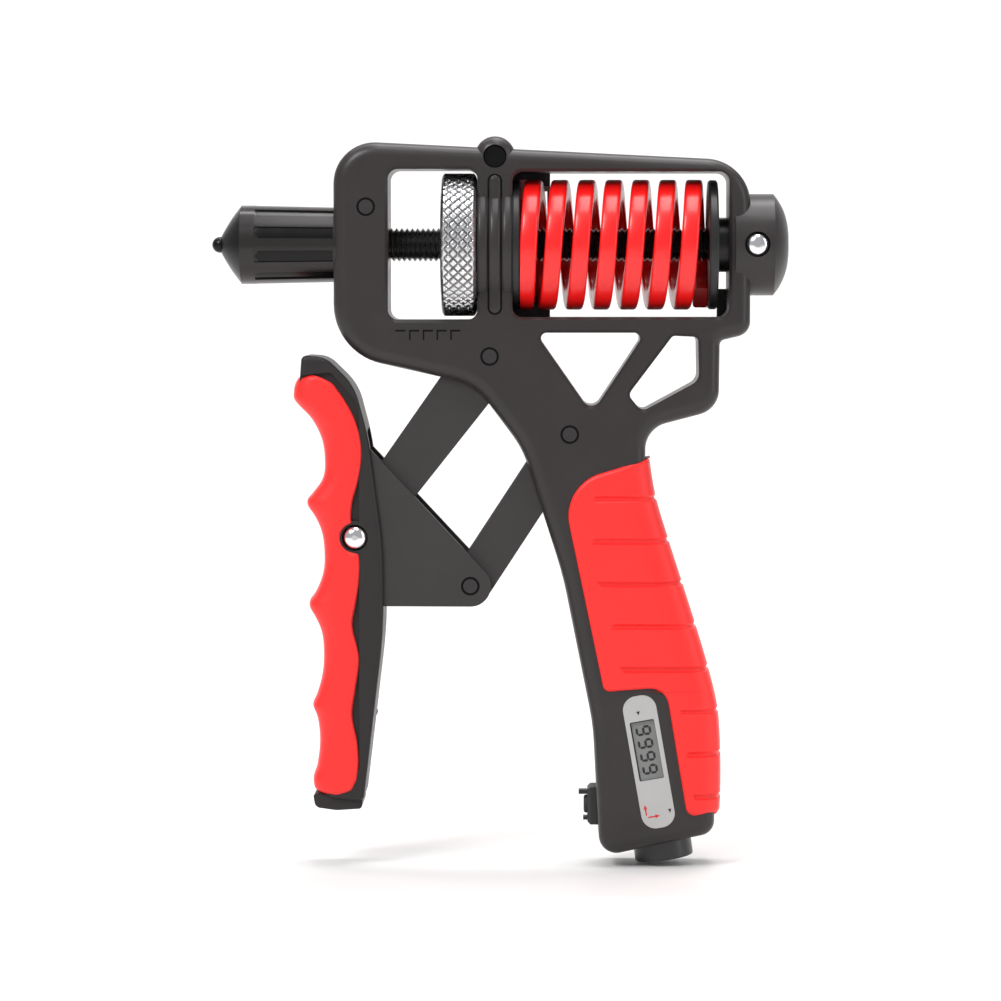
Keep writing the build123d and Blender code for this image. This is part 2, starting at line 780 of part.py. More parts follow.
lever_room_face = hull(
    (*pivot_c, lever_radius_foot + free_gap),
    (*pivot_a, lever_radius_top + free_gap),
    (*turned(pivot_a, pivot_c, relative_deg), lever_radius_top + free_gap),
)
head_radius = 3.1
head_room = 4.0

with BuildPart() as finger_pocket:
    add(slab(finger_face, -handle_half - 1, -handle_half + rubber_recess))
    mirror(about=Plane.XZ)
    add(y_bar(pivot_c, head_room, -handle_half - 2, handle_half + 2), mode=Mode.SUBTRACT)

with BuildPart() as handle_blank:
    add(slab(handle_face, -handle_half, handle_half))
    fillet(side_edges(handle_blank), handle_round)
    add(finger_pocket.part, mode=Mode.SUBTRACT)

handle_screw_points = (at(c_x - 9.4, 29.2), at(c_x + 3.0, 113.0))
handle_screw_head = 1.5
handle_screw_radius = 0.9
hollow_face = offset(handle_face, amount=-2.4, kind=Kind.INTERSECTION, mode=Mode.PRIVATE)
with BuildPart() as handle_hollow:
    add(slab(hollow_face, -handle_half + 2.4, handle_half - 2.4))
    add(block(-200, 200, -20, 20, rod_height - 90, rod_height + 50), mode=Mode.SUBTRACT)
    for point in handle_screw_points:
        add(y_bar(point, 2.2, -handle_half, handle_half), mode=Mode.SUBTRACT)

for name, side in (("near", -1), ("far", 1)):
    with BuildPart() as handle_core:
        add(handle_blank.part)
        add(block(-200, 200, min(0, -side * 50), max(0, -side * 50), -200, 200), mode=Mode.SUBTRACT)
        add(slab(lever_room_face, -plate_inner_y, plate_inner_y), mode=Mode.SUBTRACT)
        add(slab(plate_face, -plate_outer_y, -plate_inner_y), mode=Mode.SUBTRACT)
        add(slab(plate_face, plate_inner_y, plate_outer_y), mode=Mode.SUBTRACT)
        add(handle_hollow.part, mode=Mode.SUBTRACT)
        add(y_bar(pivot_c, handle_pin_radius, -plate_outer_y, plate_outer_y), mode=Mode.SUBTRACT)
        add(y_bar(pivot_c, head_radius, -20, -plate_outer_y), mode=Mode.SUBTRACT)
        add(y_bar(pivot_c, head_radius, plate_outer_y, 20), mode=Mode.SUBTRACT)
        for point in handle_screw_points:
            add(y_bar(point, handle_screw_radius, -handle_half + 3, 20), mode=Mode.SUBTRACT)
            add(y_bar(point, handle_screw_head, handle_half - 1.2, 20), mode=Mode.SUBTRACT)
    finish(handle_core, "handle_core_" + name)
    inner = side * plate_inner_y
    outer = side * plate_outer_y
    with BuildPart() as handle_plate:
        add(slab(plate_face, min(inner, outer), max(inner, outer)))
        add(y_bar(pivot_c, handle_pin_radius, -20, 20), mode=Mode.SUBTRACT)
        add(y_bar(pivot_d, pivot_pin_radius, -20, 20), mode=Mode.SUBTRACT)
    finish(handle_plate, "handle_plate_" + name)

with BuildPart() as finger_grip:
    add(slab(finger_face, -handle_half - rubber_proud, handle_half + rubber_proud))
    fillet(side_edges(finger_grip), rubber_round)
    add(handle_blank.part, mode=Mode.SUBTRACT)
    add(y_bar(pivot_c, head_room, -20, 20), mode=Mode.SUBTRACT)
finish(finger_grip, "finger_grip")

with BuildPart() as handle_end_cap:
    add(slab(
        rounded([
            (*at(c_x - 10.1, handle_end_drop - 1.6), 0.5),
            (*at(c_x + 1.8, handle_end_drop - 1.0), 0.5),
            (*at(c_x + 1.5, handle_end_drop + 1.9), 0.8),
            (*at(c_x - 4.5, handle_end_drop + 2.3), 8.0),
            (*at(c_x - 9.6, handle_end_drop + 1.6), 1.6),
        ]),
        -handle_half + 1.5, handle_half - 1.5,
    ))
    add(handle_blank.part, mode=Mode.SUBTRACT)
    add(finger_grip.part, mode=Mode.SUBTRACT)
finish(handle_end_cap, "handle_end_cap")

with BuildPart() as handle_pivot_pin:
    add(y_bar(pivot_c, head_radius, -handle_half - 0.9, handle_half + 0.9))
    fillet(handle_pivot_pin.edges().filter_by(GeomType.CIRCLE), head_radius * 0.8)
    with BuildSketch(Plane.XZ.offset(-plate_outer_y)):
        with Locations(pivot_c):
            Circle(head_radius)
            Circle(handle_pin_radius, mode=Mode.SUBTRACT)
    extrude(amount=2 * plate_outer_y, mode=Mode.SUBTRACT)
finish(handle_pivot_pin, "handle_pivot_pin")

with BuildPart() as plate_pin:
    add(y_bar(pivot_d, pivot_pin_radius, -plate_outer_y, plate_outer_y))
    chamfer(plate_pin.edges().filter_by(GeomType.CIRCLE), 0.25)
finish(plate_pin, "plate_pin")

with BuildPart() as handle_screws:
    for point in handle_screw_points:
        add(y_bar(point, handle_screw_radius, -handle_half + 3.4, handle_half - 1.2))
        add(y_bar(point, handle_screw_head, handle_half - 1.2, handle_half - 0.2))
finish(handle_screws, "handle_screws")

# ------------------------------------------------------------------ stroke counter
with BuildPart() as label_plate:
    with BuildSketch(label_plane.offset(-label_recess)):
        RectangleRounded(label_width, label_length, 3.4)
        with Locations((0, lcd_shift)):
            RectangleRounded(lcd_width, lcd_length, 0.4, mode=Mode.SUBTRACT)
    extrude(amount=label_thickness)
finish(label_plate, "label_plate")

with BuildPart() as counter_case:
    with BuildSketch(label_plane.offset(-wall)):
        with Locations((0, case_shift)):
            RectangleRounded(case_width, case_length, 1.2)
    extrude(amount=-case_depth)
    with BuildSketch(label_plane.offset(-wall)):
        with Locations((0, case_shift)):
            RectangleRounded(case_width - 2 * case_wall, case_length - 2 * case_wall, 0.5)
    extrude(amount=-case_depth + case_wall, mode=Mode.SUBTRACT)
finish(counter_case, "counter_case")

glass_flange = 1.0
with BuildPart() as display_glass:
    with BuildSketch(label_plane.offset(-wall)):
        with Locations((0, lcd_shift)):
            RectangleRounded(lcd_width + 1.6, lcd_length + 1.6, 0.4)
    extrude(amount=-glass_flange)
    with BuildSketch(label_plane.offset(-wall)):
        with Locations((0, lcd_shift)):
            RectangleRounded(lcd_width, lcd_length, 0.4)
    extrude(amount=wall - 0.8)
finish(display_glass, "display_glass")

board_gap = 0.6
board_thickness = 1.2
with BuildPart() as counter_board:
    with BuildSketch(label_plane.offset(-wall - glass_flange - board_gap)):
        with Locations((0, case_shift)):
            Rectangle(case_width - 2 * case_wall - 0.4, case_length - 2 * case_wall - 0.4)
    extrude(amount=-board_thickness)
finish(counter_board, "counter_board")

cell_radius = 3.95
with BuildPart() as counter_cell:
    with BuildSketch(label_plane.offset(-wall - glass_flange - board_gap - board_thickness)):
        with Locations((0, case_shift - 5.0)):
            Circle(cell_radius)
    extrude(amount=-3.6)
    chamfer(counter_cell.edges().filter_by(GeomType.CIRCLE), 0.3)
finish(counter_cell, "counter_cell")

switch_top = 43.6
switch_height = 8.9
with BuildPart() as stroke_switch:
    add(block(
        switch_x, switch_x + 5.0, -3.0, 3.0,
        rod_height - switch_top - switch_height, rod_height - switch_top,
    ))
    chamfer(stroke_switch.edges(), 0.4)
finish(stroke_switch, "stroke_switch")

lead_radius = 0.7
lead_top = Vector(switch_x + 2.5, -2.0, rod_height - switch_top - switch_height)
case_top = label_plane.offset(-wall - 5).from_local_coords(Vector(0, case_shift + case_length / 2, 0))
lead_foot = Vector(case_top.X, case_top.Y, case_top.Z + 0.2)
with BuildPart() as switch_lead:
    with BuildSketch(Plane(origin=lead_top, z_dir=lead_foot - lead_top)):
        Circle(lead_radius)
    extrude(amount=(lead_foot - lead_top).length)
    add(stroke_switch.part, mode=Mode.SUBTRACT)
    add(counter_case.part, mode=Mode.SUBTRACT)
finish(switch_lead, "switch_lead")

# ------------------------------------------------------------------ reset button and side button
button_face = reset_exposed + 0.4
button_flange_low = 3.9
button_flange = 1.3
with BuildPart() as reset_button:
    with BuildSketch(reset_plane.offset(-button_flange_low)):
        Circle(reset_radius)
    extrude(amount=button_flange_low + button_face)
    fillet(reset_button.edges().filter_by(GeomType.CIRCLE), 0.5)
    with BuildSketch(reset_plane.offset(-button_flange_low - button_flange)):
        Circle(inner_y - free_gap)
    extrude(amount=button_flange)
finish(reset_button, "reset_button")

with BuildPart() as reset_spring:
    with BuildSketch(reset_plane.offset(-button_flange_low - button_flange)):
        Circle(3.0)
        Circle(2.4, mode=Mode.SUBTRACT)
    extrude(amount=-5.6)
finish(reset_spring, "reset_spring")

bezel_half = 4.5
bezel_out = 2.4
with BuildPart() as side_bezel:
    add(block(
        side_wall_x - bezel_out, side_wall_x + 1, -bezel_half, bezel_half,
        rod_height - side_button_drop - bezel_half, rod_height - side_button_drop + bezel_half,
    ))
    chamfer(side_bezel.faces().sort_by(Axis.X)[0].edges(), 0.7)
    for drop, reach, thick in ((-3.0, 2.1, 1.0), (3.3, 1.0, 0.8)):
        add(block(
            side_wall_x - bezel_out - reach, side_wall_x - bezel_out + 1, -1.6, 1.6,
            rod_height - side_button_drop - drop - thick / 2,
            rod_height - side_button_drop - drop + thick / 2,
        ))
    add(x_bar(side_button_radius + free_gap, -100, 100, side_button_drop), mode=Mode.SUBTRACT)
    add(frame_core.part, mode=Mode.SUBTRACT)
finish(side_bezel, "side_bezel")

with BuildPart() as side_button:
    add(x_bar(side_button_radius, side_wall_x - bezel_out - 0.9, side_wall_x + 3.0, side_button_drop))
    fillet(side_button.edges().filter_by(GeomType.CIRCLE).sort_by(Axis.X)[0], 0.6)
    add(x_bar(side_button_radius + 0.9, side_wall_x + 2.4, side_wall_x + 3.2, side_button_drop))
finish(side_button, "side_button")

with BuildPart() as side_spring:
    add(x_bar(side_spring_radius, side_wall_x + 3.2, spring_post_x, side_button_drop))
    add(x_bar(side_spring_radius - 0.5, side_wall_x, spring_post_x + 1, side_button_drop), mode=Mode.SUBTRACT)
finish(side_spring, "side_spring")
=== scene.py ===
import json
import math

import bpy
import numpy as np
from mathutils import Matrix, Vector


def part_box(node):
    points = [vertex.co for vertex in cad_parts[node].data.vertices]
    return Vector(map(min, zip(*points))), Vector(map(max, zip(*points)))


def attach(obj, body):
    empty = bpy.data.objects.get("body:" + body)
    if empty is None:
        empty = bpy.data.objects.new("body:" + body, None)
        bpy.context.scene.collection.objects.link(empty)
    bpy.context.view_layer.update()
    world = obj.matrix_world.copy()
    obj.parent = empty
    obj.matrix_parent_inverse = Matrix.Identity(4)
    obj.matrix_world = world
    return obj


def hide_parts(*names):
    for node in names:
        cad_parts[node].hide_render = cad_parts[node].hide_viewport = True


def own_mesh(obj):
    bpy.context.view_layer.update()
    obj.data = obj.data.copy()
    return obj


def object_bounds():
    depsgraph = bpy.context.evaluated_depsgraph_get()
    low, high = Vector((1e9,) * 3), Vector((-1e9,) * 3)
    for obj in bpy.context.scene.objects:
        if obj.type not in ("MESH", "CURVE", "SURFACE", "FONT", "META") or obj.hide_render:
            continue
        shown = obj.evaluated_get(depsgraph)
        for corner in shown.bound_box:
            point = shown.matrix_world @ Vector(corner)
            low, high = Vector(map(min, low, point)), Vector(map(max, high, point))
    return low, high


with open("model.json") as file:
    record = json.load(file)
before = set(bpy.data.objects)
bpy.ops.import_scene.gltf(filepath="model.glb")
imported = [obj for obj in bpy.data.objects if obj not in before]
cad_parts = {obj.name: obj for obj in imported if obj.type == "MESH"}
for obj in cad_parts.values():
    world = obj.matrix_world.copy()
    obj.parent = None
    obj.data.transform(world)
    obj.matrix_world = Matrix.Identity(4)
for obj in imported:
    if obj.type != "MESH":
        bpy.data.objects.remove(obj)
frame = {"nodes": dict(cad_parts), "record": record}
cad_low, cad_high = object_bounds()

# Adjustable spring hand gripper: soft red grips, die spring, threaded rod, knurled nut and
# counter label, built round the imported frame. Metres in the CAD's frame; the shapes below are
# worked out in millimetres and scaled once when a mesh is made.
MM = 0.001
AXIS = 97.2            # height of the pull rod above the origin
FACE = 10.1            # half thickness of the frame
HANDLE_FACE = 11.0     # half thickness of the front handle
WEB = -37.05           # middle of the web between the windows
BULGE = 14.8           # radius of the round bulge over the web
PIN_DROP = 69.5        # the handle pin's drop below the rod
PIN_X = -70.3          # the handle pin's place along the rod


# ------------------------------------------------------------------ finishes
def paint(name, colour, roughness, metal=0.0, coat=0.0, grain=0.0, grain_size=0.0004,
          mottle=0.06, sheen=0.0, parting=False, shine=0.5):
    """A finish for one kind of surface. Its colour is mottled a little by slow noise, its gloss
    wanders with a second noise, and fine noise raises its grain by a small bump. Parting draws
    a dark line round the middle plane, where two halves meet."""
    made = bpy.data.materials.new(name)
    made.use_nodes = True
    nodes, links = made.node_tree.nodes, made.node_tree.links
    shader = nodes["Principled BSDF"]
    shader.inputs["Metallic"].default_value = metal
    shader.inputs["Coat Weight"].default_value = coat
    shader.inputs["Coat Roughness"].default_value = 0.12
    shader.inputs["Sheen Weight"].default_value = sheen
    shader.inputs["Specular IOR Level"].default_value = shine
    place = nodes.new("ShaderNodeTexCoord")
    slow = nodes.new("ShaderNodeTexNoise")
    slow.inputs["Scale"].default_value = 90.0
    slow.inputs["Detail"].default_value = 4.0
    links.new(place.outputs["Object"], slow.inputs["Vector"])
    tone = nodes.new("ShaderNodeValToRGB")
    tone.color_ramp.elements[0].position = 0.3
    tone.color_ramp.elements[1].position = 0.7
    tone.color_ramp.elements[0].color = [c * (1 - mottle) for c in colour] + [1]
    tone.color_ramp.elements[1].color = [min(1, c * (1 + mottle)) for c in colour] + [1]
    links.new(slow.outputs["Fac"], tone.inputs["Fac"])
    shade = tone.outputs["Color"]
    if parting:
        split = nodes.new("ShaderNodeSeparateXYZ")
        links.new(place.outputs["Object"], split.inputs["Vector"])
        across = nodes.new("ShaderNodeMath")
        across.operation = "ABSOLUTE"
        links.new(split.outputs["Y"], across.inputs[0])
        seam = nodes.new("ShaderNodeMath")
        seam.operation = "LESS_THAN"
        seam.inputs[1].default_value = 0.13 * MM
        links.new(across.outputs[0], seam.inputs[0])
        dark = nodes.new("ShaderNodeMix")
        dark.data_type = "RGBA"
        dark.inputs["B"].default_value = (0.006, 0.006, 0.006, 1)
        links.new(seam.outputs[0], dark.inputs["Factor"])
        links.new(shade, dark.inputs["A"])
        shade = dark.outputs["Result"]
    links.new(shade, shader.inputs["Base Color"])
    gloss = nodes.new("ShaderNodeTexNoise")
    gloss.inputs["Scale"].default_value = 260.0
    gloss.inputs["Detail"].default_value = 3.0
    links.new(place.outputs["Object"], gloss.inputs["Vector"])
    span = nodes.new("ShaderNodeMapRange")
    span.inputs["To Min"].default_value = max(0.03, roughness - 0.06)
    span.inputs["To Max"].default_value = min(1.0, roughness + 0.06)
    links.new(gloss.outputs["Fac"], span.inputs["Value"])
    links.new(span.outputs["Result"], shader.inputs["Roughness"])
    if grain > 0:
        fine = nodes.new("ShaderNodeTexNoise")
        fine.inputs["Scale"].default_value = 1.0 / grain_size
        fine.inputs["Detail"].default_value = 2.0
        links.new(place.outputs["Object"], fine.inputs["Vector"])
        raised = nodes.new("ShaderNodeBump")
        raised.inputs["Strength"].default_value = grain
        raised.inputs["Distance"].default_value = 0.1 * MM
        links.new(fine.outputs["Fac"], raised.inputs["Height"])
        links.new(raised.outputs["Normal"], shader.inputs["Normal"])
    return made


def turned_metal(name, colour, roughness, stretch):
    """Bare metal with fine lathe marks: noise stretched along the rod axis gives streaks round it."""
    made = paint(name, colour, roughness, metal=1.0, mottle=0.05)
    nodes, links = made.node_tree.nodes, made.node_tree.links
    place = nodes.new("ShaderNodeTexCoord")
    squeeze = nodes.new("ShaderNodeMapping")
    squeeze.inputs["Scale"].default_value = stretch
    links.new(place.outputs["Object"], squeeze.inputs["Vector"])
    marks = nodes.new("ShaderNodeTexNoise")
    marks.inputs["Scale"].default_value = 1.0
    marks.inputs["Detail"].default_value = 3.0
    links.new(squeeze.outputs["Vector"], marks.inputs["Vector"])
    raised = nodes.new("ShaderNodeBump")
    raised.inputs["Strength"].default_value = 0.12
    raised.inputs["Distance"].default_value = 0.05 * MM
    links.new(marks.outputs["Fac"], raised.inputs["Height"])
    links.new(raised.outputs["Normal"], nodes["Principled BSDF"].inputs["Normal"])
    return made


finish = {
    "body_plastic": paint("satin_graphite_plastic", (0.031, 0.0265, 0.0265), 0.36, grain=0.12,
                          coat=0.03, parting=True, shine=0.3),
    "handle_plastic": paint("satin_handle_plastic", (0.028, 0.025, 0.025), 0.40, grain=0.12,
                            shine=0.2, parting=True),
    "nose_plastic": paint("polished_black_plastic", (0.020, 0.017, 0.0165), 0.22, coat=0.1,
                          grain=0.04, shine=0.3),
    "case_plastic": paint("matt_black_plastic", (0.018, 0.018, 0.018), 0.55, grain=0.2),
    "reset_plastic": paint("black_button_plastic", (0.018, 0.017, 0.017), 0.38, grain=0.1,
                           coat=0.1),
    "grip_rubber": paint("soft_red_rubber", (0.90, 0.016, 0.013), 0.48, grain=0.25,
                         grain_size=0.00028, mottle=0.03, sheen=0.03),
    "spring_red": paint("red_powder_coat", (0.90, 0.008, 0.008), 0.30, coat=0.25, grain=0.14,
                        grain_size=0.0007, mottle=0.03),
    "pin_steel": paint("blackened_pin", (0.028, 0.025, 0.025), 0.40, metal=0.2, grain=0.08),
    "chrome_pin": paint("bright_chrome", (0.90, 0.90, 0.91), 0.16, metal=1.0, mottle=0.01),
    "dark_screw": paint("black_screw", (0.030, 0.030, 0.030), 0.36, metal=0.5, grain=0.1),
    "dark_steel": paint("dark_link_paint", (0.037, 0.033, 0.033), 0.50, grain=0.2,
                        grain_size=0.0005, mottle=0.05, shine=0.3),
    "plate_steel": paint("black_oxide_steel", (0.022, 0.022, 0.023), 0.34, metal=0.35, grain=0.1),
    "inner_steel": turned_metal("plain_inner_steel", (0.5, 0.5, 0.5), 0.36, (300, 9000, 9000)),
    "rod_steel": paint("black_thread", (0.020, 0.020, 0.021), 0.28, metal=0.45, coat=0.2,
                       grain=0.05),
    "nut_steel": turned_metal("bright_nickel", (0.74, 0.74, 0.75), 0.24, (9000, 300, 300)),
    "bush_bronze": turned_metal("oiled_bronze", (0.42, 0.30, 0.14), 0.4, (300, 6000, 6000)),
    "label_silver": paint("silver_label_film", (0.46, 0.46, 0.455), 0.36, metal=0.3, grain=0.1,
                          grain_size=0.0002, mottle=0.04),
    "display": paint("grey_display", (0.17, 0.175, 0.17), 0.16, coat=0.5, mottle=0.03),
    "board_green": paint("green_board", (0.02, 0.16, 0.07), 0.4, mottle=0.15, grain=0.1),
    "cell_steel": turned_metal("cell_can", (0.7, 0.7, 0.7), 0.3, (4000, 200, 4000)),
    "lead_black": paint("black_lead", (0.015, 0.015, 0.015), 0.5, grain=0.1),
}
# black for the pins' joint lines and the scale marks, and for the painted shade round the web ribs
marks_and_shade_black = paint("marks_and_shade_black", (0.002, 0.002, 0.002), 0.6, grain=0.05, shine=0.1)
# black for the printed digits and pointers, and for the painted shadow along the display's edges
ink_and_shadow_black = paint("black_ink_and_painted_shadow", (0.008, 0.008, 0.008), 0.4, grain=0.05, mottle=0.1)
ink_red = paint("red_ink", (0.62, 0.012, 0.010), 0.4, grain=0.05, mottle=0.1)
deep_black = paint("deep_black", (0.003, 0.0025, 0.0025), 0.25, grain=0.03, shine=0.25)

DEEP_BLACK = ("top_shell_pin", "nose_cone", "nose_tip")


def knurl_valley_shade(metal):
    """Darkens the knurl's valleys with painted shade: the valley attribute mixes the bright colour
    towards black.
    """
    nodes, links = metal.node_tree.nodes, metal.node_tree.links
    depth = nodes.new("ShaderNodeAttribute")
    depth.attribute_name = "valley"
    dark = nodes.new("ShaderNodeMix")
    dark.data_type = "RGBA"
    dark.inputs["B"].default_value = (0.03, 0.03, 0.03, 1)
    shader = nodes["Principled BSDF"]
    links.new(shader.inputs["Base Color"].links[0].from_socket, dark.inputs["A"])
    links.new(depth.outputs["Fac"], dark.inputs["Factor"])
    links.new(dark.outputs["Result"], shader.inputs["Base Color"])


# painted shade in the nut's knurl valleys
knurl_valley_shade(finish["nut_steel"])

for part in frame["record"]["subparts"]:
    surface = frame["nodes"][part["node"]].data.materials
    surface.clear()
    surface.append(deep_black if part["node"] in DEEP_BLACK else finish[part["material_slot"]])


# ------------------------------------------------------------------ mesh helpers
def piece(name, points, faces, material, body, smooth=True, crease=40):
    """Makes one piece from points in millimetres and faces, smooth but for sharp creases, and
    lets it ride on a body."""
    mesh = bpy.data.meshes.new(name)
    mesh.from_pydata((np.asarray(points, float) * MM).tolist(), [], faces)
    mesh.materials.append(material)
    mesh.polygons.foreach_set("use_smooth", np.full(len(mesh.polygons), smooth))
    mesh.update()
    if smooth:
        mesh.set_sharp_from_angle(angle=math.radians(crease))
    made = bpy.data.objects.new(name, mesh)
    bpy.context.scene.collection.objects.link(made)
    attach(made, body)
    return made


def tube_faces(rows, columns, ring=False):
    """Quads over a grid of rows whose columns close round, with flat ends unless the rows close
    too."""
    i, j = np.meshgrid(np.arange(rows if ring else rows - 1), np.arange(columns), indexing="ij")
    after, beside = (i + 1) % rows, (j + 1) % columns
    quads = np.stack([i * columns + j, i * columns + beside,
                      after * columns + beside, after * columns + j], -1).reshape(-1, 4)
    faces = quads.tolist()
    if not ring:
        faces.append(list(range(columns - 1, -1, -1)))
        faces.append(list(range((rows - 1) * columns, rows * columns)))
    return faces


def outwards(made):
    """Turns a closed piece's faces to point outwards, by the sign of its enclosed volume."""
    mesh = made.data
    mesh.calc_loop_triangles()
    corner = np.zeros(len(mesh.vertices) * 3)
    mesh.vertices.foreach_get("co", corner)
    corner = corner.reshape(-1, 3)
    corner = corner - corner.mean(0)
    index = np.zeros(len(mesh.loop_triangles) * 3, int)
    mesh.loop_triangles.foreach_get("vertices", index)
    a, b, c = corner[index.reshape(-1, 3)].transpose(1, 0, 2)
    if np.einsum("ij,ij->i", a, np.cross(b, c)).sum() < 0:
        mesh.flip_normals()


def drop_point(x, drop):
    """A point of the middle plane from its x and its drop below the rod axis."""
    return np.array([x, AXIS - drop])


def rounded_line(corners, step):
    """An open line through (x, z, radius) corners: each corner between the ends is a circular arc
    tangent to its two sides, and the sides between are straight."""
    spots = [np.array(c[:2], float) for c in corners]
    line = [spots[0]]
    for k in range(1, len(corners) - 1):
        here, radius = spots[k], corners[k][2]
        back = spots[k - 1] - here
        on = spots[k + 1] - here
        back = back / np.linalg.norm(back)
        on = on / np.linalg.norm(on)
        half = math.acos(np.clip(back @ on, -1, 1)) / 2
        bisector = (back + on) / np.linalg.norm(back + on)
        centre = here + bisector * radius / math.sin(half)
        start = here + back * radius / math.tan(half) - centre
        end = here + on * radius / math.tan(half) - centre
        turn = math.acos(np.clip(start @ end / radius ** 2, -1, 1))
        parts = max(3, int(radius * turn / step))
        share = np.linspace(0, 1, parts + 1)[:, None]
        arc = (np.sin((1 - share) * turn) * start + np.sin(share * turn) * end) / math.sin(turn)
        line.extend(centre + arc)
    line.append(spots[-1])
    return np.array(line)


def distance_to(line, x, z):
    """Distance from points to a polyline: the least over its segments."""
    a, b = line[:-1], line[1:]
    least = np.full(x.shape, 1e9)
    for start, end in zip(a, b):
        d = end - start
        share = np.clip(((x - start[0]) * d[0] + (z - start[1]) * d[1]) / (d @ d + 1e-12), 0, 1)
        gap = np.hypot(x - start[0] - share * d[0], z - start[1] - share * d[1])
        least = np.minimum(least, gap)
    return least


def round_over(depth, reach, height):
    """How far a rounded edge has fallen at a depth in from it: a quarter ellipse."""
    inside = np.clip((reach - depth) / reach, 0, 1)
    return height * (1 - np.sqrt(1 - inside ** 2))


def flowing(stations, where):
    """A smooth curve through (where, value) stations: a cubic between each pair, whose slope at
    a station follows its two neighbours."""
    at, value = np.array(stations, float).T
    slope = np.gradient(value, at)
    k = np.clip(np.searchsorted(at, where) - 1, 0, len(at) - 2)
    h = at[k + 1] - at[k]
    t = (where - at[k]) / h
    return ((2 * t ** 3 - 3 * t ** 2 + 1) * value[k] + (t ** 3 - 2 * t ** 2 + t) * h * slope[k]
            + (3 * t ** 2 - 2 * t ** 3) * value[k + 1] + (t ** 3 - t ** 2) * h * slope[k + 1])


# ------------------------------------------------------------------ palm grip
PALM_SIDE = [
    (50.6, -0.2), (54.0, 0.25), (59.6, 1.25), (69.7, 4.2), (80.3, 7.6), (90.3, 10.8),
    (100.3, 13.8), (110.3, 16.2), (120.7, 16.95), (130.0, 17.0), (136.0, 16.8),
]


def rear_x(z):
    """The palm side: a gentle curve that swells down the grip and ends nearly upright."""
    return flowing(PALM_SIDE, AXIS - z)


GROOVE_PITCH = 10.15
groove_heights = 36.9 - GROOVE_PITCH * np.arange(8)
groove_starts = (-13.9, -13.9, -12.3, -9.2, -6.9, 6.9, 8.6, 10.4)


def groove_depth(x, z):
    """Depth of the cross grooves: each is a square-bottomed trough that fades in at its start."""
    depth = np.zeros(np.broadcast(x, z).shape)
    for height, start in zip(groove_heights, groove_starts):
        across = np.clip((0.64 - np.abs(z - height)) / 0.22, 0, 1)
        along = np.clip((x - start) / 0.35, 0, 1)
        depth = np.maximum(depth, 0.65 * across * along)
    return depth


def palm_grip():
    """The rubber over the main grip. Rows run down the grip and columns run round it: in from
    the front outline, over the display side, round the palm and back over the far side. The
    palm side falls as a quarter ellipse and the outline's own edge is rounded; a row that
    leaves the outline for a while dips under the frame's face there. The section is a thin
    C that is open to the front, so the frame's room for the linkage stays clear."""
    front = rounded_line([
        (*drop_point(-0.2, 50.6), 1.0), (*drop_point(-21.4, 57.1), 10.5),
        (*drop_point(-11.1, 106.3), 1.8), (*drop_point(3.5, 105.1), 4.5),
        (*drop_point(8.7, 136.1), 2.2), (*drop_point(16.9, 134.9), 1.0),
    ], step=0.3)
    top, foot = front[0, 1] - 0.02, front[:, 1].min() + 0.02
    z = np.unique(np.concatenate([
        np.linspace(top, foot, 300), AXIS - np.linspace(104.6, 106.5, 40),
        top - np.geomspace(0.03, 1.2, 9), foot + np.geomspace(0.03, 1.2, 9),
    ]))[::-1]
    a, b = front[:-1], front[1:]
    hit = (a[None, :, 1] - z[:, None]) * (b[None, :, 1] - z[:, None]) <= 0
    share = (z[:, None] - a[None, :, 1]) / (b[None, :, 1] - a[None, :, 1] + 1e-12)
    crossing = np.where(hit, a[None, :, 0] + share * (b - a)[None, :, 0], np.inf)
    left = crossing.min(1) + 0.08
    swell = rear_x(z)
    right = swell - 0.45 - round_over(top - z, 1.2, 0.8) - round_over(z - foot, 1.4, 1.2)
    right = np.maximum(right, left + 0.1)
    bulge = np.minimum(0.45, 0.3 * (right - left))
    share = np.concatenate([np.linspace(0, 0.1, 8)[:-1], np.linspace(0.1, 0.55, 16)[:-1],
                            1 - 0.45 * np.cos(np.linspace(0, np.pi / 2, 26))])
    x = left[:, None] + (right - left)[:, None] * share[None, :]
    tall = np.broadcast_to(z[:, None], x.shape)
    outside = (crossing[:, None, :] < x[:, :, None]).sum(-1) % 2 == 0
    edge = np.where(outside, 0.0, distance_to(front, x, tall))
    inward = swell[:, None] - 0.45 - x
    fall = round_over(edge, 1.1, 0.95) + round_over(inward, 7.5, 4.3) + 0.7 * outside
    half = FACE + 0.8 - fall + 0.12 * np.sin(np.pi * share)[None, :]
    lean = np.clip(1 - inward / 7.5, 0, 1)
    cut = groove_depth(x, tall) * (1 - 0.35 * lean)
    near = np.stack([x - cut * lean, -(half - cut * np.sqrt(1 - lean ** 2)), tall], -1)
    wrap = np.linspace(-1, 1, 14)[1:-1]
    band = np.stack([near[:, -1:, 0] + bulge[:, None] * (1 - wrap ** 2)[None, :],
                     near[:, -1:, 1] * -wrap[None, :],
                     np.broadcast_to(z[:, None], (len(z), len(wrap)))], -1)
    far = near[:, ::-1] * np.array([1, -1, 1])
    rear = (right - np.minimum(1.6, 0.4 * (right - left)))[:, None]
    inner = np.stack([np.minimum(near[..., 0], rear), -np.minimum(9.15, -near[..., 1] - 0.35),
                      tall], -1)
    rows = np.concatenate([near, band, far, inner * np.array([1, -1, 1]), inner[:, ::-1]], 1)
    made = piece("red_palm_grip", rows.reshape(-1, 3), tube_faces(len(z), rows.shape[1]),
                 finish["grip_rubber"], "frame", crease=35)
    outwards(made)
    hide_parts("palm_grip")


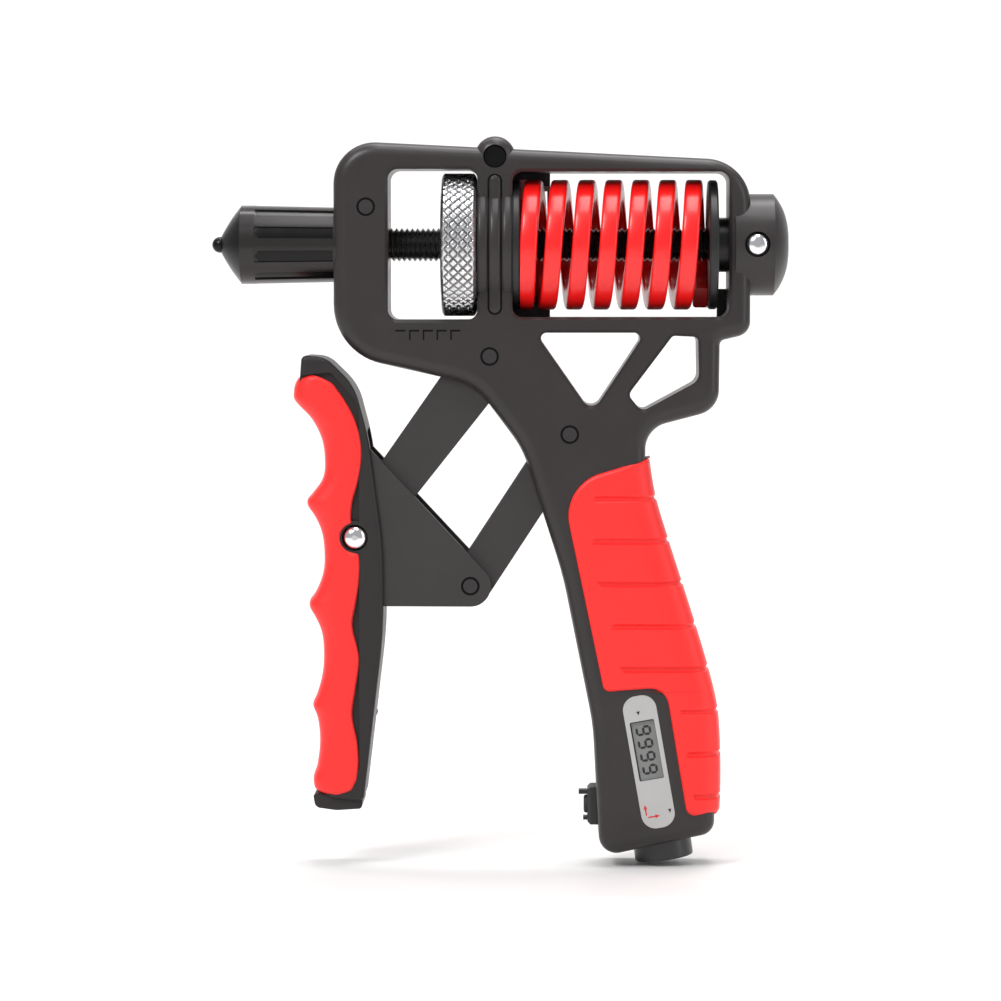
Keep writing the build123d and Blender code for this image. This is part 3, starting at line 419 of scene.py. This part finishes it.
# ------------------------------------------------------------------ finger grip
FINGER_SIDE = [
    (30.6, -82.4), (31.4, -83.7), (33.0, -84.8), (35.0, -85.2), (36.8, -85.1), (38.2, -84.0),
    (40.4, -81.8), (44.8, -79.1), (50.3, -77.9), (56.6, -78.8), (59.4, -80.9), (60.8, -82.0),
    (62.2, -81.9), (63.8, -80.8), (66.8, -79.2), (73.1, -78.0), (79.4, -78.6), (83.4, -80.4),
    (85.0, -81.5), (86.4, -81.5), (88.2, -80.5), (91.4, -79.0), (97.0, -78.2), (103.8, -78.8),
    (107.8, -80.0), (109.8, -80.8), (112.0, -80.0), (117.3, -79.2), (124.3, -79.8),
    (128.3, -80.7), (130.0, -80.0), (131.0, -77.9),
]
HANDLE_SIDE = [
    (30.6, -81.0), (31.2, -79.0), (32.5, -76.2), (34.7, -74.2), (38.0, -72.0), (43.2, -69.6),
    (49.5, -68.6), (56.5, -69.6), (61.2, -70.9), (64.6, -71.2), (69.5, -70.3), (74.4, -69.2),
    (80.0, -69.3), (85.7, -70.2), (89.5, -70.9), (98.3, -69.3), (106.2, -70.3), (111.5, -71.0),
    (118.8, -69.7), (125.0, -69.6), (128.3, -70.4), (130.2, -72.2), (131.0, -75.0),
]
PEAKS = (61.4, 85.7, 109.8)
NOTCH_RADIUS = 3.5


def finger_front(drop):
    """The finger side: shallow valleys between soft peaks one finger apart, and a hook at the
    top that leans forward."""
    return flowing(FINGER_SIDE, drop)


def finger_back(drop):
    """The rubber's line on the handle's side: a gentle wave in step with the fingers, and a
    round notch for the pivot pin's head."""
    line = flowing(HANDLE_SIDE, drop)
    notch = NOTCH_RADIUS ** 2 - (drop - PIN_DROP) ** 2
    cut = np.where(notch > 0, PIN_X - np.sqrt(np.clip(notch, 0, None)), 0)
    return np.where((notch > 0) & (cut < line), cut, line)


def finger_grip():
    """The rubber on the front handle. Rows run down and columns run round it: each row rises
    over a rounded edge, crosses the face, rolls over the finger side as a quarter ellipse and
    returns on the far side. A soft ridge crosses the face at each peak."""
    top, foot = FINGER_SIDE[0][0], FINGER_SIDE[-1][0]
    drop = np.unique(np.concatenate([
        np.linspace(top, foot, 250), top + np.geomspace(0.03, 2.0, 12),
        foot - np.geomspace(0.03, 2.0, 12),
        PIN_DROP + NOTCH_RADIUS * np.sin(np.linspace(-1.57, 1.57, 30)),
    ]))
    left, right = finger_front(drop), finger_back(drop)
    bulge = np.minimum(0.45, 0.3 * (right - left))
    left = left + bulge
    share = np.concatenate([np.linspace(0, 0.12, 8)[:-1],
                            np.linspace(0.12, 0.45, 12)[:-1],
                            1 - 0.55 * np.cos(np.linspace(0, np.pi / 2, 26))])
    x = right[:, None] + (left - right)[:, None] * share[None, :]
    tall = np.broadcast_to(drop[:, None], x.shape)
    edge = distance_to(np.stack([right, drop], -1), x, tall)
    edge = np.minimum(edge, np.minimum(tall - top, foot - tall))
    roll = 4.4 + 0.45 * np.clip(-77.9 - left, 0, None) * np.clip((drop - 42.0) / 10.0, 0, 1)
    roll = roll[:, None]
    fall = round_over(edge, 1.2, 1.1) + 4.2 * round_over((x - left[:, None]) / roll, 1.0, 1.0)
    ridge = sum(np.exp(-((drop - peak) / 1.5) ** 2) for peak in PEAKS)
    half = HANDLE_FACE + 0.75 - fall + 0.3 * ridge[:, None] * share[None, :] ** 1.5 * (1 - share)
    near = np.stack([x, -half, AXIS - tall], -1)
    wrap = np.linspace(-1, 1, 16)[1:-1]
    band = np.stack([near[:, -1:, 0] - bulge[:, None] * (1 - wrap ** 2)[None, :],
                     near[:, -1:, 1] * -wrap[None, :],
                     np.broadcast_to(AXIS - drop[:, None], (len(drop), len(wrap)))], -1)
    far = near[:, ::-1] * np.array([1, -1, 1])
    rows = np.concatenate([near, band, far], 1)
    made = piece("red_finger_grip", rows.reshape(-1, 3), tube_faces(len(drop), rows.shape[1]),
                 finish["grip_rubber"], "handle", crease=38)
    outwards(made)
    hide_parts("finger_grip")


# ------------------------------------------------------------------ springs
def rounded_section(width, depth, corner, per=4):
    """A rectangle with rounded corners: quarter circles joined by straight sides."""
    points = []
    for k, (sx, sy) in enumerate(((1, 1), (-1, 1), (-1, -1), (1, -1))):
        for t in np.linspace(0, np.pi / 2, per):
            angle = k * np.pi / 2 + t
            points.append((sx * (width / 2 - corner) + corner * math.cos(angle),
                           sy * (depth / 2 - corner) + corner * math.sin(angle)))
    return np.array(points)


def die_spring():
    """The flat-wire spring. The wire's section is carried along a helix, square to the rod, and
    cut flat at both ends as ground ends are. Its axial place is a smooth curve through the turns,
    with the pitch closing up over the first and last turn."""
    low, high = [v * 1000 for v in (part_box("load_spring")[0][0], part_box("load_spring")[1][0])]
    pitch, wire, depth, outer_radius, stroke = 6.42, 4.1, 4.8, 15.5, 9.2
    turns = (high - low - wire * 0.35) / pitch
    turn = np.linspace(0, 2 * np.pi * (turns + 0.72), 900)
    first_front = low + 1.55
    even = first_front + pitch * (turn / (2 * np.pi) - 0.75)
    soft = 1.3
    along = low + 0.5 + soft * np.logaddexp(0, (even - low - 0.5) / soft)
    along = high - 0.7 - soft * np.logaddexp(0, (high - 0.7 - along) / soft)
    section = rounded_section(wire, depth, 0.75)
    angle = (turn - np.pi)[:, None]
    reach = outer_radius - depth / 2 + section[None, :, 1]
    place = np.clip(along[:, None] + section[None, :, 0], low, high)
    rows = np.stack([place, -reach * np.sin(angle), AXIS - reach * np.cos(angle)], -1)
    made = piece("die_spring", rows.reshape(-1, 3), tube_faces(*rows.shape[:2]),
                 finish["spring_red"], "frame", crease=50)
    outwards(made)
    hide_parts("load_spring")
    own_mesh(made)


def button_spring(name, node, wire, axis):
    """A small round-wire spring in the place of its CAD tube: a helix along the tube's axis."""
    low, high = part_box(node)
    mesh = frame["nodes"][node].data
    spots = np.zeros(len(mesh.vertices) * 3)
    mesh.vertices.foreach_get("co", spots)
    spots = spots.reshape(-1, 3) * 1000
    direction = np.array(axis, float)
    direction /= np.linalg.norm(direction)
    reach = spots @ direction
    centre = spots.mean(0)
    centre = centre - direction * (centre @ direction)
    side = np.cross(direction, [0, 1, 0])
    side /= np.linalg.norm(side)
    other = np.cross(direction, side)
    radius = np.abs((spots - centre) @ other).max() - wire / 2
    turn = np.linspace(0, 2 * np.pi * 5, 240)
    along = np.linspace(reach.min() + wire / 2, reach.max() - wire / 2, len(turn))
    spin = np.linspace(0, 2 * np.pi, 9)[:-1]
    out = radius + wire / 2 * np.cos(spin)[None, :]
    rows = (centre + (along[:, None] + wire / 2 * np.sin(spin)[None, :])[..., None] * direction
            + (out * np.cos(turn)[:, None])[..., None] * side
            + (out * np.sin(turn)[:, None])[..., None] * other)
    made = piece(name, rows.reshape(-1, 3), tube_faces(*rows.shape[:2]), finish["inner_steel"],
                 "frame")
    outwards(made)
    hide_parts(node)
    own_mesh(made)


# ------------------------------------------------------------------ rod and nut
def threaded_rod():
    """An M8 coarse thread: a rounded triangle wave whose phase follows the distance along the
    rod and the angle round it, fading into a chamfer at each end."""
    low, high = [v[0] * 1000 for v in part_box("pull_rod")]
    rod_radius, pitch, thread_depth, chamfer = 4.0, 1.25, 0.68, 0.8
    x = np.linspace(low, high, 960)[:, None]
    angle = np.linspace(0, 2 * np.pi, 40, endpoint=False)[None, :]
    phase = (x / pitch - angle / (2 * np.pi)) % 1.0
    flank = np.clip(np.abs(phase - 0.5) * 2 * 1.15 - 0.08, 0, 1)
    ends = np.minimum(x - low, high - x)
    radius = (rod_radius - thread_depth * flank * np.clip(ends / chamfer, 0, 1)
              - np.clip(chamfer - ends, 0, chamfer))
    rows = np.stack([np.broadcast_to(x, radius.shape), -radius * np.sin(angle),
                     radius * np.cos(angle) + AXIS], -1)
    made = piece("threaded_rod", rows.reshape(-1, 3), tube_faces(*rows.shape[:2]),
                 finish["rod_steel"], "rod", crease=60)
    outwards(made)
    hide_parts("pull_rod")


def knurled_nut():
    """The diamond-knurled nut: a closed ring profile of bore, side faces and chamfers turned
    round the rod, whose rim carries two crossing families of V grooves."""
    low, high = [v * 1000 for v in (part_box("tension_nut")[0][0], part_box("tension_nut")[1][0])]
    rim, stations, teeth = 17.0, 66, 46
    middle, width = (low + high) / 2, high - low
    across = np.linspace(-1, 1, stations)
    knurl_half = width / 2 - 0.75
    knurl = np.stack([across * knurl_half, np.full(stations, rim)], -1)
    right = [(width / 2 - 0.35, rim - 0.45), (width / 2 - 0.05, rim - 1.1), (width / 2, rim - 1.6),
             (width / 2, rim - 3.2), (width / 2 - 0.35, rim - 3.6), (width / 2 - 0.35, 7.2),
             (width / 2, 6.8), (width / 2, 4.9), (width / 2 - 0.6, 4.06)]
    left = [(-a, r) for a, r in right[::-1]]
    profile = np.array(list(knurl) + right + left)
    angle = np.linspace(0, 2 * np.pi, 504, endpoint=False)
    a, r = profile[:, 0][None, :], profile[:, 1][None, :]
    lead = a / 2.25
    one = (teeth * angle[:, None] / (2 * np.pi) + lead) % 1.0
    two = (teeth * angle[:, None] / (2 * np.pi) - lead) % 1.0
    valley = np.maximum(1 - np.abs(one - 0.5) * 5.2, 1 - np.abs(two - 0.5) * 5.2)
    on_rim = np.clip((np.arange(len(profile)) < stations) * np.clip(
        (knurl_half - np.abs(a)) / 0.45 + 0.25, 0, 1), 0, 1)
    radius = r - 0.5 * np.clip(valley, 0, 1) * on_rim
    rows = np.stack([np.broadcast_to(middle + a, radius.shape), -radius * np.sin(angle)[:, None],
                     radius * np.cos(angle)[:, None] + AXIS], -1)
    made = piece("knurled_nut", rows.reshape(-1, 3),
                 tube_faces(*rows.shape[:2], ring=True), finish["nut_steel"], "nut", crease=28)
    # painted shade: how far down each point sits in a knurl valley, darkening it in the nut's finish
    low_spots = np.clip(valley, 0, 1) ** 1.5 * on_rim * 0.9
    made.data.attributes.new("valley", "FLOAT", "POINT").data.foreach_set(
        "value", low_spots.ravel().astype(np.float32))
    outwards(made)
    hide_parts("tension_nut")


# ------------------------------------------------------------------ web ribs and marks
def web_surface(drop):
    """Height of the frame's side over the web: the flat face, or the round bulge where that
    stands prouder."""
    bulge = np.sqrt(np.clip(BULGE ** 2 - drop ** 2, 0, None))
    return np.maximum(FACE, bulge)


def web_rib(name, side, length, width, height, material):
    """An oblong rib laid over the web: its ridge follows the face and the bulge, its section is
    a flattened half round, and its ends are round."""
    run = np.linspace(-length / 2, length / 2, 150)
    over = np.clip((np.abs(run) - length / 2 + width / 2) / (width / 2), 0, 0.999)
    half = width / 2 * np.sqrt(1 - over ** 2)
    share = np.linspace(-1, 1, 15)
    x = WEB + half[:, None] * share[None, :]
    lift = height * (1 - share ** 4)[None, :] * (0.25 + 0.75 * np.sqrt(1 - over ** 2))[:, None]
    rise = web_surface(run[:, None])
    top = np.stack([x, side * (rise + lift), np.broadcast_to(AXIS - run[:, None], x.shape)], -1)
    base = top[:, ::-1].copy()
    base[..., 1] = side * (rise - 0.5)
    rows = np.concatenate([top, base], 1)
    made = piece(name, rows.reshape(-1, 3), tube_faces(*rows.shape[:2]), material, "frame")
    outwards(made)


def web_band(name, side, x0, x1, height):
    """A convex band round the bulge between the rib and a window: a shallow arch across its
    width, carried round the bulge until it dips under the flat face."""
    angle = np.linspace(-math.radians(48), math.radians(48), 80)
    share = np.linspace(-1, 1, 15)
    x = (x0 + x1) / 2 + (x1 - x0) / 2 * share
    reach = BULGE + height * (1 - share ** 4)
    top = np.stack([np.broadcast_to(x, (80, 15)), side * reach * np.cos(angle)[:, None],
                    reach * np.sin(angle)[:, None] + AXIS], -1)
    low = 14.3
    base = np.stack([np.broadcast_to(x[::-1], (80, 15)),
                     side * low * np.broadcast_to(np.cos(angle)[:, None], (80, 15)),
                     low * np.broadcast_to(np.sin(angle)[:, None], (80, 15)) + AXIS], -1)
    rows = np.concatenate([top, base], 1)
    made = piece(name, rows.reshape(-1, 3), tube_faces(*rows.shape[:2]), finish["body_plastic"],
                 "frame")
    outwards(made)


def ring_mark(name, point, face, side, body, radius=1.95, line=0.27):
    """The dark joint line round a flush pin: a thin ring sunk in the face."""
    turn = np.linspace(0, 2 * np.pi, 72, endpoint=False)
    spin = np.linspace(0, 2 * np.pi, 10, endpoint=False)
    reach = radius + line * np.cos(spin)[None, :]
    rows = np.stack([point[0] + reach * np.cos(turn)[:, None],
                     np.broadcast_to(side * (face + 0.25 * line * np.sin(spin)), (72, 10)),
                     point[1] + reach * np.sin(turn)[:, None]], -1)
    made = piece(name, rows.reshape(-1, 3), tube_faces(72, 10, ring=True), marks_and_shade_black, body)
    outwards(made)


def flat_shape(name, outline, place, thickness, material, body):
    """A printed or laid-on flat shape: its closed outline on a plane, given a small thickness."""
    outline = np.asarray(outline, float)
    count = len(outline)
    area = (outline[:, 0] * np.roll(outline[:, 1], -1)
            - np.roll(outline[:, 0], -1) * outline[:, 1]).sum()
    if area < 0:
        outline = outline[::-1]
    lower, upper = place(outline, 0.0), place(outline, thickness)
    faces = [list(range(count - 1, -1, -1)), list(range(count, 2 * count))]
    faces += [[k, (k + 1) % count, count + (k + 1) % count, count + k] for k in range(count)]
    made = piece(name, np.concatenate([lower, upper]), faces, material, body, smooth=False)
    outwards(made)


def on_side(side, face):
    """Places an outline of the middle plane on one side face."""
    def place(outline, lift):
        return np.stack([outline[:, 0], np.full(len(outline), side * (face + lift)),
                         outline[:, 1]], -1)
    return place


def flute_shade_strip(k):
    """Painted shade in one of the nose's ten flutes: a near-black curved strip just above the cut,
    17 degrees wide, that starts behind the plain band."""
    low, high = -94.0, -75.5
    middle = math.radians(18 + 36 * k)
    angle = middle + math.radians(8.5) * np.linspace(-1, 1, 9)
    x = np.linspace(low, high, 24)
    reach = 9.03 - 0.4 * (x - low) / (high - low)
    half = np.sqrt(np.clip(1 - np.clip((low + 1.2 - x) / 1.2, 0, 1) ** 2, 0.02, 1))
    spread = middle + (angle - middle)[None, :] * half[:, None]
    top = np.stack([np.broadcast_to(x[:, None], spread.shape), reach[:, None] * np.cos(spread),
                    reach[:, None] * np.sin(spread) + AXIS], -1)
    base = top[:, ::-1].copy()
    base[..., 1:] = (base[..., 1:] - (0, AXIS)) * 0.985 + (0, AXIS)
    rows = np.concatenate([top, base], 1)
    made = piece(f"flute_shade_strip_{k + 1}", rows.reshape(-1, 3), tube_faces(*rows.shape[:2]),
                 deep_black, "frame")
    outwards(made)


# ------------------------------------------------------------------ counter label
TILT = math.radians(10.0)
LABEL = np.array([-0.4, -25.7])
LCD_SHIFT = 2.8
DIGIT_PITCH = 3.12


def on_label(depth):
    """Places an outline, given across and along the label, at a depth below its face."""
    across = np.array([math.cos(TILT), math.sin(TILT)])
    along = np.array([-math.sin(TILT), math.cos(TILT)])

    def place(outline, lift):
        spot = LABEL + outline[:, :1] * across + outline[:, 1:] * along
        return np.stack([spot[:, 0], np.full(len(spot), -(FACE - depth + lift)), spot[:, 1]], -1)
    return place


def bar(start, end, width):
    """A display segment: a bar with pointed ends."""
    start, end = np.array(start, float), np.array(end, float)
    d = (end - start) / np.linalg.norm(end - start)
    n = np.array([-d[1], d[0]]) * width / 2
    tip = d * width / 2
    return np.array([start, start + tip + n, end - tip + n, end, end - tip - n, start + tip - n])


def digits():
    """Four seven-segment nines that read down the label: each segment is a pointed bar."""
    tall, wide, line = 3.7, 2.35, 0.58
    gap = 0.06
    x0, x1, xm = -tall / 2 + line / 2, tall / 2 - line / 2, 0.0
    for place_number in range(4):
        top = LCD_SHIFT + (1.5 - place_number) * DIGIT_PITCH + wide / 2
        a, b = top - line / 2, top - wide + line / 2
        segments = {
            "top": ((x1, a - gap), (x1, b + gap)), "middle": ((xm, a - gap), (xm, b + gap)),
            "foot": ((x0, a - gap), (x0, b + gap)), "left_high": ((xm + gap, a), (x1 - gap, a)),
            "right_high": ((xm + gap, b), (x1 - gap, b)),
            "right_low": ((x0 + gap, b), (xm - gap, b)),
        }
        for label, (start, end) in segments.items():
            flat_shape(f"digit_{place_number + 1}_{label}", bar(start, end, line),
                       on_label(0.8), 0.03, ink_and_shadow_black, "frame")


def arrow(name, foot, heading, length, material):
    """A printed arrow: a straight shaft and a triangular head."""
    heading = math.radians(heading)
    d = np.array([math.cos(heading), math.sin(heading)])
    n = np.array([-d[1], d[0]])
    foot = np.array(foot, float)
    head = foot + d * (length - 1.1)
    tip = foot + d * length
    outline = [foot - n * 0.17, head - n * 0.17, head - n * 0.48, tip, head + n * 0.48,
               head + n * 0.17, foot + n * 0.17]
    flat_shape(name, outline, on_label(-0.1), 0.02, material, "frame")


def label_print():
    """The label's printed marks: two red arrows and a black pointer at each end; and a painted
    shadow along the display's left and top edges, two thin black strips."""
    arrow("reset_arrow_up", (-2.75, -12.6), 90, 2.6, ink_red)
    arrow("reset_arrow_across", (-2.4, -13.1), 0, 2.8, ink_red)
    flat_shape("pointer_down", [(2.5, -11.9), (3.35, -11.9), (2.93, -12.9)], on_label(-0.1), 0.02,
               ink_and_shadow_black, "frame")
    flat_shape("pointer_display", [(-0.95, 12.3), (-0.05, 12.3), (-0.5, 11.35)], on_label(-0.1),
               0.02, ink_and_shadow_black, "frame")
    # painted shadow: thin black strips along the display's left and top edges, below the label
    for k, (x0, x1, v0, v1) in enumerate((
        (-2.95, -2.6, -4.35, 9.95), (-2.6, 2.95, 9.6, 9.95),
    )):
        flat_shape(f"display_shadow_{k + 1}", [(x0, v0), (x1, v0), (x1, v1), (x0, v1)],
                   on_label(0.78), 0.01, ink_and_shadow_black, "frame")


# ------------------------------------------------------------------ build
FRAME_PINS = {
    "upper_pivot": drop_point(-38.3, 26.5),
    "lower_pivot": drop_point(-19.3, 45.0),
    "front_pin": drop_point(-67.6, -8.9),
}

palm_grip()
finger_grip()
die_spring()
threaded_rod()
knurled_nut()
lean = math.radians(8)
reset_axis = (-math.sin(lean), 0, math.cos(lean))
button_spring("reset_coil", "reset_spring", 0.6, reset_axis)
button_spring("side_coil", "side_spring", 0.4, (1, 0, 0))

for side, word in ((-1, "near"), (1, "far")):
    web_rib(f"web_rib_{word}", side, 32.6, 2.7, 0.55, finish["body_plastic"])
    # painted shade: a flat black sheet a little wider than the rib shows round its foot as dark
    # grooves
    web_rib(f"web_rib_shade_{word}", side, 33.4, 3.5, 0.02, marks_and_shade_black)
    web_band(f"web_band_front_{word}", side, WEB - 4.1, WEB - 1.8, 0.35)
    web_band(f"web_band_rear_{word}", side, WEB + 1.8, WEB + 4.1, 0.35)
    for name, point in FRAME_PINS.items():
        ring_mark(f"{name}_ring_{word}", point, FACE, side, "frame")
    ring_mark(f"plate_pin_ring_{word}", drop_point(-42.9, 81.1), 9.3, side, "handle")

for k in range(5):
    x = -60.6 + 3.25 * k
    flat_shape(f"scale_tick_{k + 1}",
               [(x, AXIS - 20.6), (x + 2.4, AXIS - 20.6), (x + 2.4, AXIS - 20.2),
                (x, AXIS - 20.2)],
               on_side(-1, FACE), 0.03, marks_and_shade_black, "frame")

for k in range(4):
    x = -57.35 + 3.25 * k
    flat_shape(f"scale_bar_{k + 1}",
               [(x, AXIS - 22.6), (x + 0.35, AXIS - 22.6), (x + 0.35, AXIS - 20.6),
                (x, AXIS - 20.6)],
               on_side(-1, FACE), 0.02, marks_and_shade_black, "frame")

# painted shade: a near-black strip in each of the nose's ten flutes
for k in range(10):
    flute_shade_strip(k)
digits()
label_print()


# ------------------------------------------------------------------ floor, light and camera
def sweep():
    """The pale floor: flat under the object, then curving up far behind it to a backdrop."""
    angle = np.linspace(0, np.pi / 2, 24)
    run = np.concatenate([[-2.5], 0.9 + 1.1 * np.sin(angle), [2.0]])
    rise = np.concatenate([[0], 1.1 * (1 - np.cos(angle)), [3.2]]) + cad_low[2] - 0.0006
    across = np.array([-3.5, 3.5])
    points = np.stack([np.broadcast_to(across, (len(run), 2)),
                       np.broadcast_to(run[:, None], (len(run), 2)),
                       np.broadcast_to(rise[:, None], (len(run), 2))], -1)
    faces = [(2 * k, 2 * k + 1, 2 * k + 3, 2 * k + 2) for k in range(len(run) - 1)]
    mesh = bpy.data.meshes.new("floor")
    mesh.from_pydata(points.reshape(-1, 3).tolist(), [], faces)
    mesh.polygons.foreach_set("use_smooth", np.ones(len(mesh.polygons), bool))
    mesh.materials.append(paint("pale_floor", (0.80, 0.79, 0.78), 0.6, mottle=0.01))
    made = bpy.data.objects.new("floor", mesh)
    bpy.context.scene.collection.objects.link(made)


sweep()
world = bpy.context.scene.world or bpy.data.worlds.new("studio")
bpy.context.scene.world = world
world.use_nodes = True
world.node_tree.nodes["Background"].inputs["Color"].default_value = (0.96, 0.97, 1.0, 1)
world.node_tree.nodes["Background"].inputs["Strength"].default_value = 0.42


def soft_light(name, place, target, size, power):
    """A square softbox aimed at a point."""
    data = bpy.data.lights.new(name, "AREA")
    data.shape = "RECTANGLE"
    data.size, data.size_y = size
    data.energy = power
    lamp = bpy.data.objects.new(name, data)
    lamp.location = place
    lamp.rotation_euler = (Vector(target) - Vector(place)).to_track_quat("-Z", "Y").to_euler()
    bpy.context.scene.collection.objects.link(lamp)


middle = (-0.035, 0, 0.035)
soft_light("key_light", (-0.55, -0.75, 0.85), middle, (0.45, 0.45), 9)
soft_light("top_light", (0.05, 0.0, 0.9), middle, (0.9, 0.35), 5)
soft_light("side_light", (0.75, -0.3, 0.25), middle, (0.2, 0.8), 1.6)
soft_light("backdrop_light", (0.0, 0.5, 1.6), (0.0, 1.9, 0.3), (2.4, 0.6), 30)

camera_data = bpy.data.cameras.new("camera")
camera_data.sensor_width = 36
camera_data.lens = 142.72
camera_data.clip_start = 0.01
camera = bpy.data.objects.new("camera", camera_data)
camera.location = (-0.02327, -0.95021, 0.08638)
yaw, pitch = math.radians(-0.758), math.radians(3.034)
ahead = Vector((math.sin(yaw) * math.cos(pitch), math.cos(yaw) * math.cos(pitch),
                -math.sin(pitch)))
camera.rotation_euler = ahead.to_track_quat("-Z", "Y").to_euler()
bpy.context.scene.collection.objects.link(camera)
bpy.context.scene.camera = camera
bpy.context.scene.view_settings.view_transform = "Standard"
